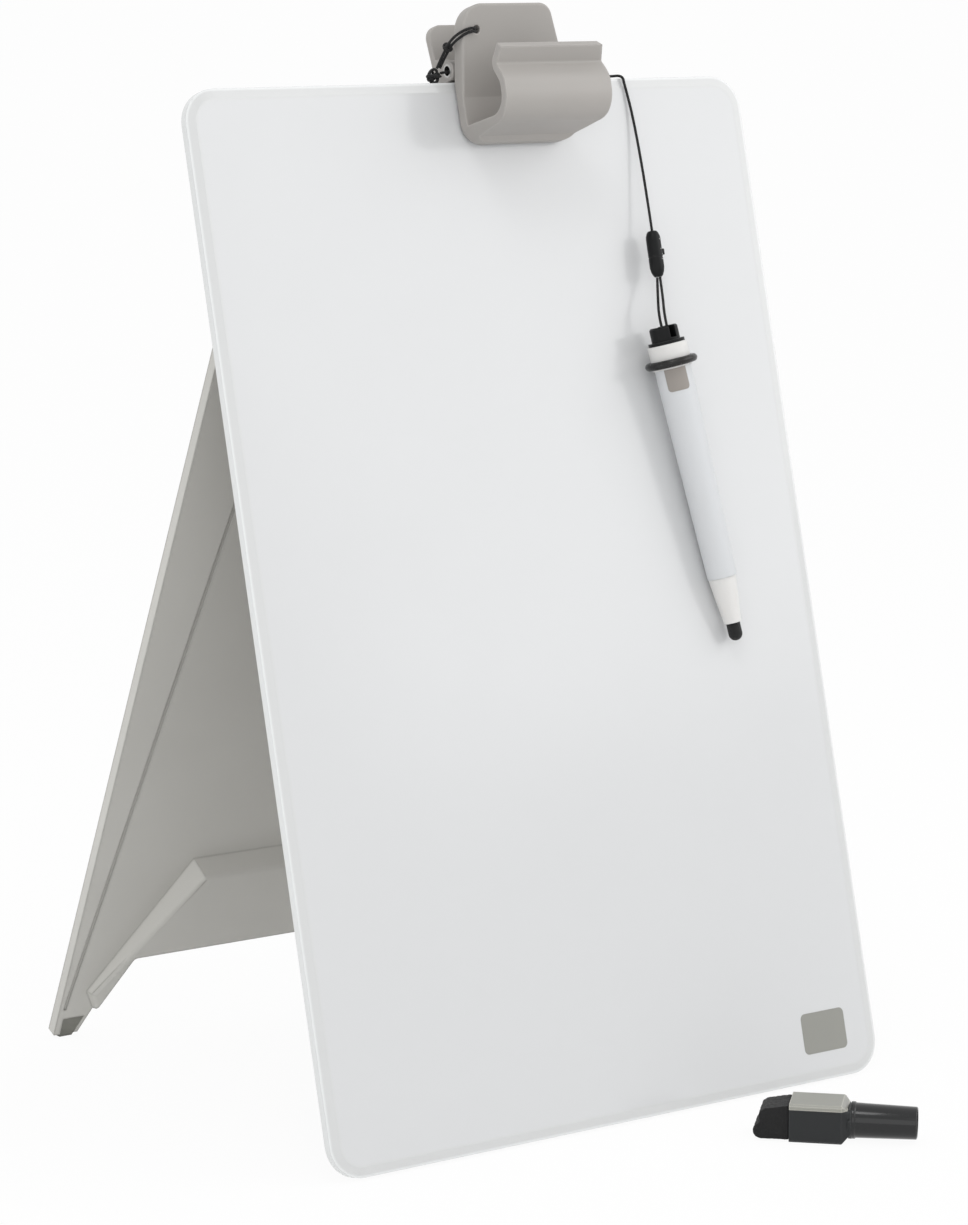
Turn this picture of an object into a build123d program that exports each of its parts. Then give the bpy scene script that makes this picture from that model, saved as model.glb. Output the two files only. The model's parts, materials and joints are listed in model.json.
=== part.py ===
from build123d import *

import os
from math import cos, pi, radians, sin, tan

# Desk whiteboard easel: a leaning glass panel on a folding leg, with a sprung pen clip.
# Millimetres and degrees. +Z is up, +X runs along the panel, the writing face looks towards -Y.
# The origin is the middle of the rubber strip that the panel stands on, on the desk.
# Panel pieces are drawn flat, with x along the panel, y up it and z out of the writing face,
# and are then leaned back. Leg pieces are drawn with y down the leg and z towards the panel.

os.makedirs("parts", exist_ok=True)

# ---------------------------------------------------------------- writing panel
panel_width = 215.0
panel_height = 336.0
panel_corner = 11.0
glass_thickness = 4.0
glass_border = 3.2          # width of the polished bevel round the front
glass_bevel = 0.7           # depth of that bevel
glass_back_edge = 0.5
sheet_thickness = 0.6
sheet_inset = 3.5
lean = 14.36                # panel's lean back from vertical
desk_gap = 1.3              # glass front edge above the desk

# ---------------------------------------------------------------- back frame
frame_inset = 9.0
frame_bottom = 4.0
frame_top = 302.0
frame_depth = 5.4
frame_corner = 7.0
frame_rim = 3.0
frame_skin = 1.6
frame_rib = 1.8
frame_columns = 4
frame_rows = 6
strip_width = 5.0           # rubber strip under the frame
strip_length = 170.0
strip_setback = 0.2         # strip's front face behind the frame's front face
deep = 60.0                 # more than any piece's thickness, for cuts and ribs

# ---------------------------------------------------------------- leg and its hinge
leg_angle = 23.65           # leg from vertical when open
hinge_up = 260.2            # hinge axis, measured up the panel
hinge_back = 4.5            # hinge axis behind the frame
hinge_knuckle = 3.4         # knuckle radius
hinge_pin = 1.5             # pin radius
hinge_inset = 49.5          # middle of each hinge from the panel's side edge
knuckle_length = 18.0
ear_length = 7.0
ear_foot_grow = 2.2         # ear's foot is longer than its round end by this, up and down
hinge_pad_height = 26.0     # solid pad in the frame behind each hinge
hinge_pad_margin = 3.0
press_gap = 0.02            # pin in the frame's ears
running_fit = 0.05          # pin in the leg's knuckle, tube in the front jaw's
leg_inset = 14.9            # leg's edge inside the panel's, at the hinge axis
leg_spread = 1.64           # each side edge leans outward by this angle
leg_front = 3.8             # leg's front face behind the hinge axis
leg_wall = 2.4
flank_width = 24.0          # sloping flank beside the leg's main face, at the hinge
flank_spread = 4.8          # the fold leans outward of the leg's edge by this angle
flank_slope = 0.125         # flank falls back this much per millimetre outward
flank_depth = 4.0           # depth of the leg's outer rim
crease_width = 1.0          # groove along the fold between main face and flank
crease_depth = 0.5
rim_wall = 2.4
leg_rib = 1.8
leg_columns = 4
leg_rows = 6
leg_edge_cell = 14.0        # outer cells of the rib pattern are wider than the inner ones by this
solid_band = 6.0            # the leg is solid for this far above the beam
leg_overrun = 11.3          # drawn this far past the desk, then trimmed to it
foot_corner = 6.0           # rounding of the foot's outer corners
foot_margin = 1.0

# ---------------------------------------------------------------- leg's foot beam and arch
# Rises are measured up the leg from where its line meets the desk, insets from the panel's edge.
beam_height = 7.4           # the beam stands this far forward of the main face at its top
beam_low_height = 2.4       # and this far where it ends above the foot
beam_edge = 1.6             # rounding along the beam's crown
beam_top_rise = 64.2
beam_top_inset = 49.2
beam_low_rise = 16.7
beam_low_inset = 19.5
beam_root = 3.4             # how much wider the beam is where it meets the face
beam_foot_in = 4.0          # below its widest point the beam turns back in by this
beam_foot_run = 8.0         # over this length
beam_shoulder = 5.5         # hollow's ends inside the beam's, at the top and the bottom
beam_rib_pitch = 20.0
beam_ribs = 5
arch_top_rise = 31.2
arch_top_inset = 30.0
arch_foot_inset = 9.0       # at the end of the leg's overrun
arch_overrun = 6.0
arch_corner = 2.0
beam_wall = 2.4
pad_rise = 5.9              # rubber pad in the foot
pad_outer_inset = 9.5
pad_inner_gap = 1.6
pad_back = 3.4
pad_proud = 0.9             # pad stands this far below the leg's plastic

# ---------------------------------------------------------------- clip
clip_left = -8.0
clip_right = 33.2
clip_clearance = 0.3
grip_pad = 1.0
grip_pad_low = 318.5
grip_pad_high = 331.0
grip_pad_margin = 5.0
jaw_bottom = 315.2
jaw_top = 358.9
jaw_thick = 4.7             # front jaw's handle
jaw_grip_thick = 3.6        # front jaw where it lies along the glass
jaw_bend_up = 330.0
jaw_handle_angle = 13.7     # handle leans forward of the panel by this
jaw_top_left = 7.5          # corner radii of the front jaw, seen from the front
jaw_top_right = 5.0
jaw_bottom_left = 7.0
jaw_bottom_right = 5.0
jaw_side_bend = 12.0
jaw_side_bend_up = 335.0    # above this the jaw's right side leans in
jaw_top_narrow = 7.4        # by this at the top
jaw_edge = 0.7              # rounding of the handle's edges
jaw_web_low = 1.0           # web from the knuckles to the handle, below and above the pivot
jaw_web_high = 6.0
jaw_web_bite = 1.2
trough_wall = 2.6
trough_floor = 319.6        # middle of the floor's wall, up the panel
trough_out = 27.4           # middle of the bulge's wall in front of the glass
trough_bulge_up = 330.6
trough_neck_out = 24.1
trough_neck_up = 336.4
trough_lip_out = 28.4
trough_lip_up = 341.6
trough_floor_radius = 7.5
trough_bulge_radius = 6.0
trough_neck_radius = 2.0
trough_root_out = 2.3       # the floor thickens to this far in front of the plate
trough_root_up = 1.7        # and this far above the plate's lower edge
trough_bite = 1.5
tie_hole_x = -2.64
tie_hole_up = 350.8
tie_hole = 1.3              # hole's radius
rear_bottom = 316.0
rear_bend_up = 330.0
rear_top = 356.8
rear_thick = 2.3
rear_angle = 8.0
rear_corner = 5.0
rear_web_low = 4.0
rear_web_high = 5.0
rear_web_bite = 1.0
pivot_up = 4.1              # clip pivot above the glass's top edge
pivot_back = 2.0            # and behind the glass's front face
pivot_knuckle = 3.4
pivot_tube = 2.2
pivot_bore = 1.6
rear_knuckle = 5.5
front_knuckle = 6.0
knuckle_gap = 0.3
spring_wire = 0.9
spring_mean = 2.85
spring_turns = 5
spring_pitch = 1.9
spring_leg = 9.0

# ---------------------------------------------------------------- lanyard
cord = 0.9                  # cord diameter
cord_sides = 8              # facets of a cord's and the spring's section
knot = 2.1                  # knot radius
tie_knot = 1.6
stop_knot = 2.1
knot_sides = 12
knot_gap = 0.05             # round the cord inside a knot
turn_height = 2.9           # room for the tie's turn inside the knot behind the hole
turn_out = 1.25             # back of that room, out of the glass
connector_radius = 2.4
connector_shoulder = 2.1
connector_end = 1.4         # radius of its flat ends
connector_bevel = 0.9
connector_dome = 2.6
latch_length = 2.0
latch_width = 1.6
latch_proud = 1.0
latch_down = 6.9            # middle of the latch below the connector's top

# Points of the lanyard, as (x, up the panel, out of the glass).
knot_place = (-12.6, 338.4, -2.8)
lead_route = [
    (-10.4, 339.5, -2.25),
    (-8.4, 340.1, -2.0),
    (36.0, 340.1, -2.0),
    (48.0, 337.6, -2.2),
    (56.8, 336.7, -1.9),
    (59.2, 336.7, -0.3),
    (59.5, 335.6, 0.65),
    (59.5, 334.7, 0.75),
]
drop_route = [
    (59.5, 334.2, 0.8),
    (60.4, 328.0, 1.0),
    (60.6, 318.0, 1.9),
    (59.5, 300.0, 4.3),
    (58.1, 283.7, 6.2),
]
connector_bottom = (57.4, 268.5, 7.0)
strand_spread = 0.6         # half the distance between the loop's strands at the connector
strand_start = 0.35         # the strands start this far below the connector
loop_spread = 0.9           # half the distance between them half way down
loop_straight = 5.6         # the strands stay straight for this far above the bar
# The tie runs up to the hole, turns inside the knot behind it and comes back beside itself.
tie_route = [
    (-12.1, 340.9, -1.5),
    (-10.1, 346.8, 2.3),
    (-10.5, 348.9, 8.0),
    (-7.5, 350.7, 10.9),
    (-2.64, 351.28, 10.9),
    (-2.64, 351.28, 4.2),
    (-2.64, 351.9, 1.8),
    (-2.64, 349.7, 1.8),
    (-2.64, 350.32, 4.2),
    (-2.64, 350.32, 10.7),
    (-7.0, 349.6, 10.7),
    (-9.5, 348.0, 8.2),
    (-9.1, 346.6, 2.7),
    (-11.1, 340.9, -1.3),
]
tie_knot_place = (-9.6, 346.7, 2.5)
stop_knot_place = (-2.64, 350.8, 2.7)

# ---------------------------------------------------------------- pen
ring_place = (56.0, 239.9, 9.1)     # middle of the rubber ring
nib_place = (70.2, 147.4, 4.2)      # tip of the nib
plug_top = -12.0            # stations along the pen from the ring's middle
flange_top = -7.2
collar_top = -6.2
collar_end = 1.8
barrel_end = 72.3
holder_end = 87.7
plug_radius = 4.7
flange_radius = 6.0
collar_radius = 6.5
ring_groove = 6.05
ring_section = 1.3
ring_sides = 12
ring_seat = 0.05
barrel_top_radius = 5.95
barrel_low_radius = 4.85
barrel_spigot = 5.3
barrel_bore = 4.1
plug_spigot = 4.0
plug_spigot_length = 4.5
holder_top_radius = 4.6
holder_end_radius = 2.9
holder_spigot = 4.0
holder_spigot_length = 6.0
nib_radius = 2.3
nib_stem = 1.3
nib_stem_length = 7.0
reservoir_radius = 3.7
bar_station = -10.1
bar_radius = 0.8
slot_width = 2.4
slot_foot = 0.4             # room for the cord under the bar

# ---------------------------------------------------------------- pen cap, lying on the desk
cap_x = 38.6                # block's left end on the desk
cap_y = -44.6
cap_turn = -44.6
block_length = 19.3
block_width = 14.6
block_height = 12.4
block_chamfer = 2.9
block_edge = 0.7
sleeve_length = 20.4
sleeve_root = 5.55
sleeve_mouth = 5.15
sleeve_collar = 5.9         # low ring where the sleeve leaves the block
sleeve_collar_length = 1.2
cap_bore = 4.65
cap_bore_length = 19.4
plate_thick = 1.8
magnet_length = 11.0
magnet_width = 8.0
magnet_thick = 2.0
magnet_gap = 0.1
eraser_length = 11.3
eraser_width = 13.4
eraser_height = 11.2
eraser_drop = 2.6           # the eraser's top slopes down by this towards its end
eraser_wave = 1.7
eraser_wave_up = 3.4

running_gap = 0.3


def save(part, name):
    """Write one piece to its own STEP file."""
    part.label = name
    export_step(part, f"parts/{name}.step")


# ---------------------------------------------------------------- frames of reference
frame_back = glass_thickness + sheet_thickness + frame_depth
strip_front = glass_thickness + sheet_thickness + strip_setback
strip_back = strip_front + strip_width


def desk_height_up(back):
    """How far up the panel the desk lies, at a depth behind the glass's front face."""
    return (back * sin(radians(lean)) - desk_gap) / cos(radians(lean))


def panel_y(up, back):
    return up * sin(radians(lean)) + back * cos(radians(lean))


strip_middle = (
    panel_y(desk_height_up(strip_front), strip_front) + panel_y(desk_height_up(strip_back), strip_back)
) / 2

panel = Plane(
    origin=(0, -strip_middle, desk_gap),
    x_dir=(1, 0, 0),
    z_dir=(0, -cos(radians(lean)), sin(radians(lean))),
)


def on_panel(x, up, out=0.0):
    """World point for a place on the panel: x, up it, and out of its front face."""
    return panel.from_local_coords(Vector(x, up, out))


hinge_centre = panel_width / 2 - hinge_inset
hinge_point = on_panel(0, hinge_up, -(frame_back + hinge_back))
leg_frame = Plane(
    origin=hinge_point,
    x_dir=(1, 0, 0),
    z_dir=(0, -cos(radians(leg_angle)), -sin(radians(leg_angle))),
)
# Local y of leg_frame points up the leg, so distances down the leg are negative y.


def lean_back(part):
    return panel.location * part


def on_leg(part):
    return leg_frame.location * part


def below_desk(height, size=400.0):
    """A block that fills everything lower than a height above the desk."""
    return Pos(0, 0, height - size / 2) * Box(3 * size, 3 * size, size)


# ---------------------------------------------------------------- panel pieces
def make_glass():
    outline = Pos(0, panel_height / 2) * RectangleRounded(panel_width, panel_height, panel_corner)
    glass = Pos(0, 0, -glass_thickness) * extrude(outline, glass_thickness)
    back = glass.faces().sort_by(Axis.Z)[0]
    glass = chamfer(back.edges(), glass_back_edge)
    front = glass.faces().sort_by(Axis.Z)[-1]
    glass = chamfer(front.edges(), glass_border, glass_bevel, reference=front)
    return lean_back(glass)


def make_sheet():
    outline = RectangleRounded(
        panel_width - 2 * sheet_inset, panel_height - 2 * sheet_inset, panel_corner - sheet_inset
    )
    front = -glass_thickness
    sheet = Pos(0, panel_height / 2, front - sheet_thickness) * extrude(outline, sheet_thickness)
    return lean_back(sheet)


def frame_pockets(width, height, bottom):
    """Pockets between the ribs of the back frame, seen from behind."""
    cell_x = (width - 2 * frame_rim - (frame_columns - 1) * frame_rib) / frame_columns
    cell_y = (height - 2 * frame_rim - (frame_rows - 1) * frame_rib) / frame_rows
    pockets = []
    for column in range(frame_columns):
        for row in range(frame_rows):
            x = -width / 2 + frame_rim + column * (cell_x + frame_rib) + cell_x / 2
            y = bottom + frame_rim + row * (cell_y + frame_rib) + cell_y / 2
            pockets.append(Pos(x, y) * Rectangle(cell_x, cell_y))
    return pockets


def make_frame():
    width = panel_width - 2 * frame_inset
    height = frame_top - frame_bottom
    front = -(glass_thickness + sheet_thickness)
    outline = Pos(0, frame_bottom + height / 2) * RectangleRounded(width, height, frame_corner)
    frame = Pos(0, 0, front - frame_depth) * extrude(outline, frame_depth)
    pocket_depth = frame_depth - frame_skin
    pockets = [
        Pos(0, 0, front - frame_depth) * extrude(cell, pocket_depth)
        for cell in frame_pockets(width, height, frame_bottom)
    ]
    frame -= pockets
    # Solid pad under each hinge, then the two ears that hold its pin.
    pad_size = knuckle_length + 2 * ear_length + 2 * hinge_pad_margin
    for side in (-1, 1):
        x = side * hinge_centre
        pad = Pos(x, hinge_up, front - frame_depth / 2) * Box(pad_size, hinge_pad_height, frame_depth)
        frame += pad
        for ear_side in (-1, 1):
            ear_x = x + ear_side * (knuckle_length / 2 + running_gap + ear_length / 2)
            frame += hinge_ear(ear_x)
        frame -= Pos(x, hinge_up, front - frame_depth - hinge_back) * (
            Rot(0, 90, 0) * Cylinder(hinge_pin + press_gap, 2 * pad_size)
        )
    return lean_back(frame)


def hinge_ear(x):
    """One ear: a foot on the frame's back and a round end about the pin."""
    back = -frame_back
    foot_half = hinge_knuckle + ear_foot_grow
    side = make_face(
        Polyline(
            (back, foot_half),
            (back - hinge_back, hinge_knuckle),
            (back - hinge_back, -hinge_knuckle),
            (back, -foot_half),
            (back, foot_half),
        )
    )
    side += Pos(back - hinge_back, 0) * Circle(hinge_knuckle)
    # The side view's x is the panel's z and its y is up the panel.
    view = Plane(origin=(x - ear_length / 2, hinge_up, 0), x_dir=(0, 0, 1), z_dir=(-1, 0, 0))
    return extrude(view * side, -ear_length)


def make_hinge_pin(side):
    length = knuckle_length + 2 * ear_length + 2 * running_gap
    pin = Pos(side * hinge_centre, hinge_up, -(frame_back + hinge_back)) * (
        Rot(0, 90, 0) * Cylinder(hinge_pin, length)
    )
    pin = chamfer(pin.edges(), 0.3)
    return lean_back(pin)


def make_strip():
    """Rubber strip between the frame's lower edge and the desk."""
    low = -deep / 2
    side = make_face(
        Polyline(
            (-strip_front, frame_bottom),
            (-strip_back, frame_bottom),
            (-strip_back, low),
            (-strip_front, low),
            (-strip_front, frame_bottom),
        )
    )
    view = Plane(origin=(-strip_length / 2, 0, 0), x_dir=(0, 0, 1), z_dir=(-1, 0, 0))
    strip = lean_back(extrude(view * side, -strip_length))
    return strip - below_desk(0)


# ---------------------------------------------------------------- leg
leg_reach = hinge_point.Z / cos(radians(leg_angle))     # from the hinge axis down to the desk
leg_end = leg_reach + leg_overrun
beam_top = leg_reach - beam_top_rise
beam_side_low = leg_reach - beam_low_rise
beam_end = beam_side_low + beam_foot_run
arch_top = leg_reach - arch_top_rise
arch_end = leg_end + arch_overrun
pad_top = leg_reach - pad_rise
beam_top_half = panel_width / 2 - beam_top_inset
beam_low_half = panel_width / 2 - beam_low_inset
arch_top_half = panel_width / 2 - arch_top_inset
arch_end_half = panel_width / 2 - arch_foot_inset
pad_outer_half = panel_width / 2 - pad_outer_inset


def half_width(down):
    return panel_width / 2 - leg_inset + down * tan(radians(leg_spread))


def crease_half(down):
    return half_width(down) - (flank_width - down * tan(radians(flank_spread)))


def flank_drop(down):
    return flank_slope * (half_width(down) - crease_half(down))


fold = lean + leg_angle
stop_reach = (
    hinge_back - running_gap + leg_front * cos(radians(fold))
) / sin(radians(fold))
leg_top = -stop_reach       # the leg's top edge meets the frame when it is fully open


def leg_rear(down):
    return -(leg_front + flank_drop(down) + flank_depth)


def leg_loft(start, end, shift, inset, extra):
    sections = [
        section_at(start, shift, inset, leg_rear(start) - extra),
        section_at(end, shift, inset, leg_rear(end) - extra),
    ]
    return loft(sections, ruled=True)


def section_at(down, shift, inset, rear):
    half = half_width(down) - inset
    crease = crease_half(down)
    front = -leg_front - shift
    edge = front - flank_slope * (half - crease)
    corners = [
        (-half, -down, rear),
        (-half, -down, edge),
        (-crease, -down, front),
        (crease, -down, front),
        (half, -down, edge),
        (half, -down, rear),
    ]
    return make_face(Polyline(*corners, close=True))


def beam_outline(grow):
    """Outline of the raised beam, seen square to the leg, grown outward at its root."""
    return make_face(
        Polyline(
            (-beam_top_half - grow / 2, -beam_top + grow),
            (beam_top_half + grow / 2, -beam_top + grow),
            (beam_low_half + grow, -beam_side_low),
            (beam_low_half + grow - beam_foot_in, -beam_end),
            (-beam_low_half - grow + beam_foot_in, -beam_end),
            (-beam_low_half - grow, -beam_side_low),
            close=True,
        )
    )


def above_crown(drop):
    """All that lies forward of the beam's sloping crown, lowered by a wall's thickness."""
    high = -leg_front + beam_height - drop
    low = -leg_front + beam_low_height - drop
    side = make_face(
        Polyline(
            (-beam_end - deep, low - (high - low) * deep / (beam_end - beam_top)),
            (-beam_top + deep, high + (high - low) * deep / (beam_end - beam_top)),
            (-beam_top + deep, high + deep),
            (-beam_end - deep, high + deep),
            close=True,
        )
    )
    view = Plane(origin=(-panel_width, 0, 0), x_dir=(0, 1, 0), z_dir=(1, 0, 0))
    return extrude(view * side, 2 * panel_width)


def arch_outline():
    """The trapezoid cut out between the feet, with rounded upper corners."""
    line = FilletPolyline(
        (-arch_end_half, -arch_end),
        (-arch_top_half, -arch_top),
        (arch_top_half, -arch_top),
        (arch_end_half, -arch_end),
        radius=arch_corner,
    )
    return make_face(line + Line(line @ 1, line @ 0))


def foot_outline():
    """The leg's whole outline with some margin, rounded at the outer corners of its feet."""
    low = leg_reach + pad_back
    top_half = half_width(leg_top) + foot_margin
    low_half = half_width(low) + foot_margin
    face = make_face(
        Polyline(
            (-top_half, -leg_top + foot_margin),
            (top_half, -leg_top + foot_margin),
            (low_half, -low),
            (-low_half, -low),
            close=True,
        )
    )
    return fillet(face.vertices().sort_by(Axis.Y)[:2], foot_corner)


def make_leg_body():
    """The leg's moulding, before its feet are trimmed to the desk."""
    body = leg_loft(leg_top, leg_end, 0, 0, 0)
    # Rear pockets between ribs, down to an even wall behind the front face.
    pocket_end = beam_top - solid_band
    hollow = leg_loft(leg_top + rim_wall, pocket_end, leg_wall, rim_wall, 2.0)
    width = half_width(pocket_end)
    inner = 2 * (width - leg_edge_cell)
    ribs = []
    for column in range(1, leg_columns):
        x = (column / leg_columns - 0.5) * inner
        ribs.append(Pos(x, -pocket_end / 2, -deep / 2) * Box(leg_rib, pocket_end + deep, deep))
    for row in range(1, leg_rows):
        down = leg_top + (pocket_end - leg_top) * row / leg_rows
        ribs.append(Pos(0, -down, -deep / 2) * Box(2 * width, leg_rib, deep))
    for side in (-1, 1):
        ribs.append(Pos(side * hinge_centre, 0, -deep / 2) * Box(knuckle_length, 2 * stop_reach, deep))
    body -= hollow - ribs
    return body


def make_beam():
    front = -leg_front
    root = Pos(0, 0, front - 0.5) * beam_outline(beam_root)
    crown = Pos(0, 0, front + beam_height) * beam_outline(0)
    beam = loft([root, crown], ruled=True) - above_crown(0)
    top = beam.faces().filter_by(lambda face: face.normal_at().Z > 0.9).sort_by(Axis.Z)[-1]
    return fillet(top.edges(), beam_edge)


def make_beam_hollow():
    front = -leg_front - leg_wall
    root = Pos(0, 0, front - 8.0) * beam_hollow_outline(1.2)
    crown = Pos(0, 0, -leg_front + beam_height - beam_wall) * beam_hollow_outline(0)
    return loft([root, crown], ruled=True) - above_crown(beam_wall)


def beam_hollow_outline(grow):
    return make_face(
        Polyline(
            (-beam_top_half + beam_shoulder - grow, -beam_top - beam_wall + grow),
            (beam_top_half - beam_shoulder + grow, -beam_top - beam_wall + grow),
            (arch_top_half - beam_shoulder + grow, -arch_top + beam_wall - grow / 5),
            (-arch_top_half + beam_shoulder - grow, -arch_top + beam_wall - grow / 5),
            close=True,
        )
    )


def pad_shape(gap):
    """The rubber insert of the left foot: flush with the front, open at the bottom."""
    inner_top = arch_half(pad_top) + pad_inner_gap - gap
    inner_low = arch_half(leg_end) + pad_inner_gap - gap
    outer = pad_outer_half + gap
    face = make_face(
        Polyline(
            (-outer, -pad_top + gap),
            (-inner_top, -pad_top + gap),
            (-inner_low, -leg_end),
            (-outer, -leg_end),
            close=True,
        )
    )
    return Pos(0, 0, -leg_front - pad_back - gap) * extrude(face, pad_back + gap)


def arch_half(down):
    """Half width of the arch at a distance down the leg."""
    share = (down - arch_top) / (arch_end - arch_top)
    return arch_top_half + share * (arch_end_half - arch_top_half)


def crease_cut(side):
    """A fine groove along the fold between the main face and a flank."""
    start = Vector(side * crease_half(leg_top), -leg_top, -leg_front)
    end = Vector(side * crease_half(pad_top - 4), -(pad_top - 4), -leg_front)
    run = end - start
    plane = Plane(origin=start, x_dir=(1, 0, 0), z_dir=run)
    notch = plane * Rectangle(crease_width, 2 * crease_depth)
    return extrude(notch, run.length)


def make_knuckle(side):
    x = side * hinge_centre
    barrel = Pos(x, 0, 0) * (Rot(0, 90, 0) * Cylinder(hinge_knuckle, knuckle_length))
    web = Pos(x, 0, -leg_front / 2 - 0.5) * Box(knuckle_length, 2 * hinge_knuckle, leg_front + 1.0)
    return barrel + web


def make_leg():
    leg = make_leg_body() + make_beam()
    leg -= make_beam_hollow()
    leg -= Pos(0, 0, -deep / 2) * extrude(arch_outline(), deep)
    for side in (-1, 1):
        leg -= crease_cut(side)
        leg += make_knuckle(side)
        leg -= Pos(side * hinge_centre, 0, 0) * (
            Rot(0, 90, 0) * Cylinder(hinge_pin + running_fit, 2 * knuckle_length)
        )
    for rib in range(beam_ribs):
        leg += beam_rib((rib - (beam_ribs - 1) / 2) * beam_rib_pitch)
    socket = pad_shape(press_gap)
    leg -= socket
    leg -= mirror(socket, Plane.YZ)
    leg &= Pos(0, 0, -deep / 2) * extrude(foot_outline(), deep)
    return on_leg(leg) - below_desk(pad_proud)


def beam_rib(x):
    """A cross rib inside the hollow beam."""
    front = -leg_front + beam_height - beam_wall / 2
    depth = front + leg_front + leg_wall + 1.0
    height = arch_top - beam_top - beam_wall
    middle = -(arch_top + beam_top) / 2
    rib = Pos(x, middle, front - depth / 2) * Box(leg_rib, height, depth)
    return rib - above_crown(beam_wall / 2)


def make_pad(side):
    pad = pad_shape(0) & Pos(0, 0, -deep / 2) * extrude(foot_outline(), deep)
    if side > 0:
        pad = mirror(pad, Plane.YZ)
    return on_leg(pad) - below_desk(0)


# ---------------------------------------------------------------- clip
clip_width = clip_right - clip_left
clip_middle = (clip_left + clip_right) / 2
pivot_height = panel_height + pivot_up


def side_extrude(face, x_from, length):
    """Extrude a side view, drawn as (out of the glass, up the panel), along x."""
    view = Plane(origin=(x_from, 0, 0), x_dir=(0, 0, 1), z_dir=(-1, 0, 0))
    return extrude(view * face, -length)


def handle_out(up):
    """Front face of the front jaw's handle, out of the glass."""
    start = clip_clearance + grip_pad + jaw_grip_thick
    return start + (up - jaw_bend_up) * tan(radians(jaw_handle_angle))


def handle_back(up):
    return handle_out(up) - jaw_thick / cos(radians(jaw_handle_angle))


def jaw_side():
    """Side view of the front jaw's bent plate."""
    back = clip_clearance + grip_pad
    front = back + jaw_grip_thick
    rise = jaw_top + 6.0
    bend_back_up = jaw_bend_up + (back - handle_back(jaw_bend_up)) / tan(radians(jaw_handle_angle))
    outline = Polyline(
        (back, jaw_bottom),
        (front, jaw_bottom),
        (front, jaw_bend_up),
        (handle_out(rise), rise),
        (handle_back(rise), rise),
        (back, bend_back_up),
        close=True,
    )
    return make_face(outline)


def jaw_front_view():
    """The front jaw seen square to the glass, with its unlike corners."""
    corners = {
        (clip_left, jaw_bottom): jaw_bottom_left,
        (clip_right, jaw_bottom): jaw_bottom_right,
        (clip_right, jaw_side_bend_up): jaw_side_bend,
        (clip_right - jaw_top_narrow, jaw_top): jaw_top_right,
        (clip_left, jaw_top): jaw_top_left,
    }
    face = make_face(Polyline(*corners, close=True))
    for corner, radius in corners.items():
        face = fillet(face.vertices().sort_by_distance(corner)[0], radius)
    return face


def trough_line():
    return FilletPolyline(
        (handle_out(jaw_bend_up) - trough_bite, trough_floor),
        (trough_out, trough_floor),
        (trough_out, trough_bulge_up),
        (trough_neck_out, trough_neck_up),
        (trough_lip_out, trough_lip_up),
        radius=(trough_floor_radius, trough_bulge_radius, trough_neck_radius),
    )


def trough_root():
    """Side view of the floor's thick root, which runs out to the plate's lower edge."""
    front = handle_out(jaw_bend_up)
    bend = trough_out - trough_floor_radius
    return make_face(
        Polyline(
            (front - trough_bite, jaw_bottom),
            (front, jaw_bottom),
            (front + trough_root_out, jaw_bottom + trough_root_up),
            (bend, trough_floor - trough_wall / 2),
            (bend, trough_floor),
            (front - trough_bite, trough_floor),
            close=True,
        )
    )


def pivot_hole(x_from, length, radius):
    face = Pos(-pivot_back, pivot_height) * Circle(radius)
    return side_extrude(face, x_from, length)


def knuckle_side(reach, low, high):
    """Side view of a knuckle: a ring about the pivot and a web to its plate."""
    face = Pos(-pivot_back, pivot_height) * Circle(pivot_knuckle)
    web = make_face(
        Polyline(
            (-pivot_back, pivot_height + pivot_knuckle),
            (reach, high),
            (reach, low),
            (-pivot_back, pivot_height - pivot_knuckle),
            close=True,
        )
    )
    return face + web


def make_front_jaw():
    front_view = Pos(0, 0, -deep / 2) * extrude(jaw_front_view(), 2 * deep)
    plate = soften(side_extrude(jaw_side(), clip_left, clip_width) & front_view)
    trough = side_extrude(trace(trough_line(), trough_wall), clip_left, clip_width)
    trough += side_extrude(trough_root(), clip_left, clip_width)
    jaw = plate + (trough & front_view)
    reach = handle_back(pivot_height) + jaw_web_bite
    inner_left = clip_left + rear_knuckle + knuckle_gap
    inner_right = clip_right - rear_knuckle - knuckle_gap - front_knuckle
    web = knuckle_side(reach, pivot_height - jaw_web_low, pivot_height + jaw_web_high)
    for x in (inner_left, inner_right):
        jaw += side_extrude(web, x, front_knuckle)
    jaw -= pivot_hole(clip_left - 1, clip_width + 2, pivot_tube + running_fit)
    hole = Pos(tie_hole_x, tie_hole_up) * Circle(tie_hole)
    jaw -= extrude(Pos(0, 0, -deep / 2) * hole, deep)
    return lean_back(jaw)


def soften(plate):
    """Round the edges of the handle's front face, except at its bend."""
    fronts = plate.faces().filter_by(lambda face: face.normal_at().Z > 0.9)
    handle = fronts.sort_by(Axis.Y)[-1]
    return fillet(handle.edges().sort_by(Axis.Y)[1:], jaw_edge)


def make_grip_pad(out):
    """Rubber pad between a jaw and the panel; out is its lower face off the glass."""
    length = clip_width - 2 * grip_pad_margin
    height = grip_pad_high - grip_pad_low
    pad = Pos(clip_middle, (grip_pad_low + grip_pad_high) / 2, out + grip_pad / 2) * Box(
        length, height, grip_pad
    )
    pad = chamfer(pad.edges().filter_by(Axis.Z), grip_pad)
    return lean_back(pad)


rear_front = -(glass_thickness + sheet_thickness + clip_clearance + grip_pad)


def rear_face_out(up):
    """Front face of the rear jaw's tab, out of the glass (negative is behind)."""
    return rear_front - max(0.0, up - rear_bend_up) * tan(radians(rear_angle))


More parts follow.
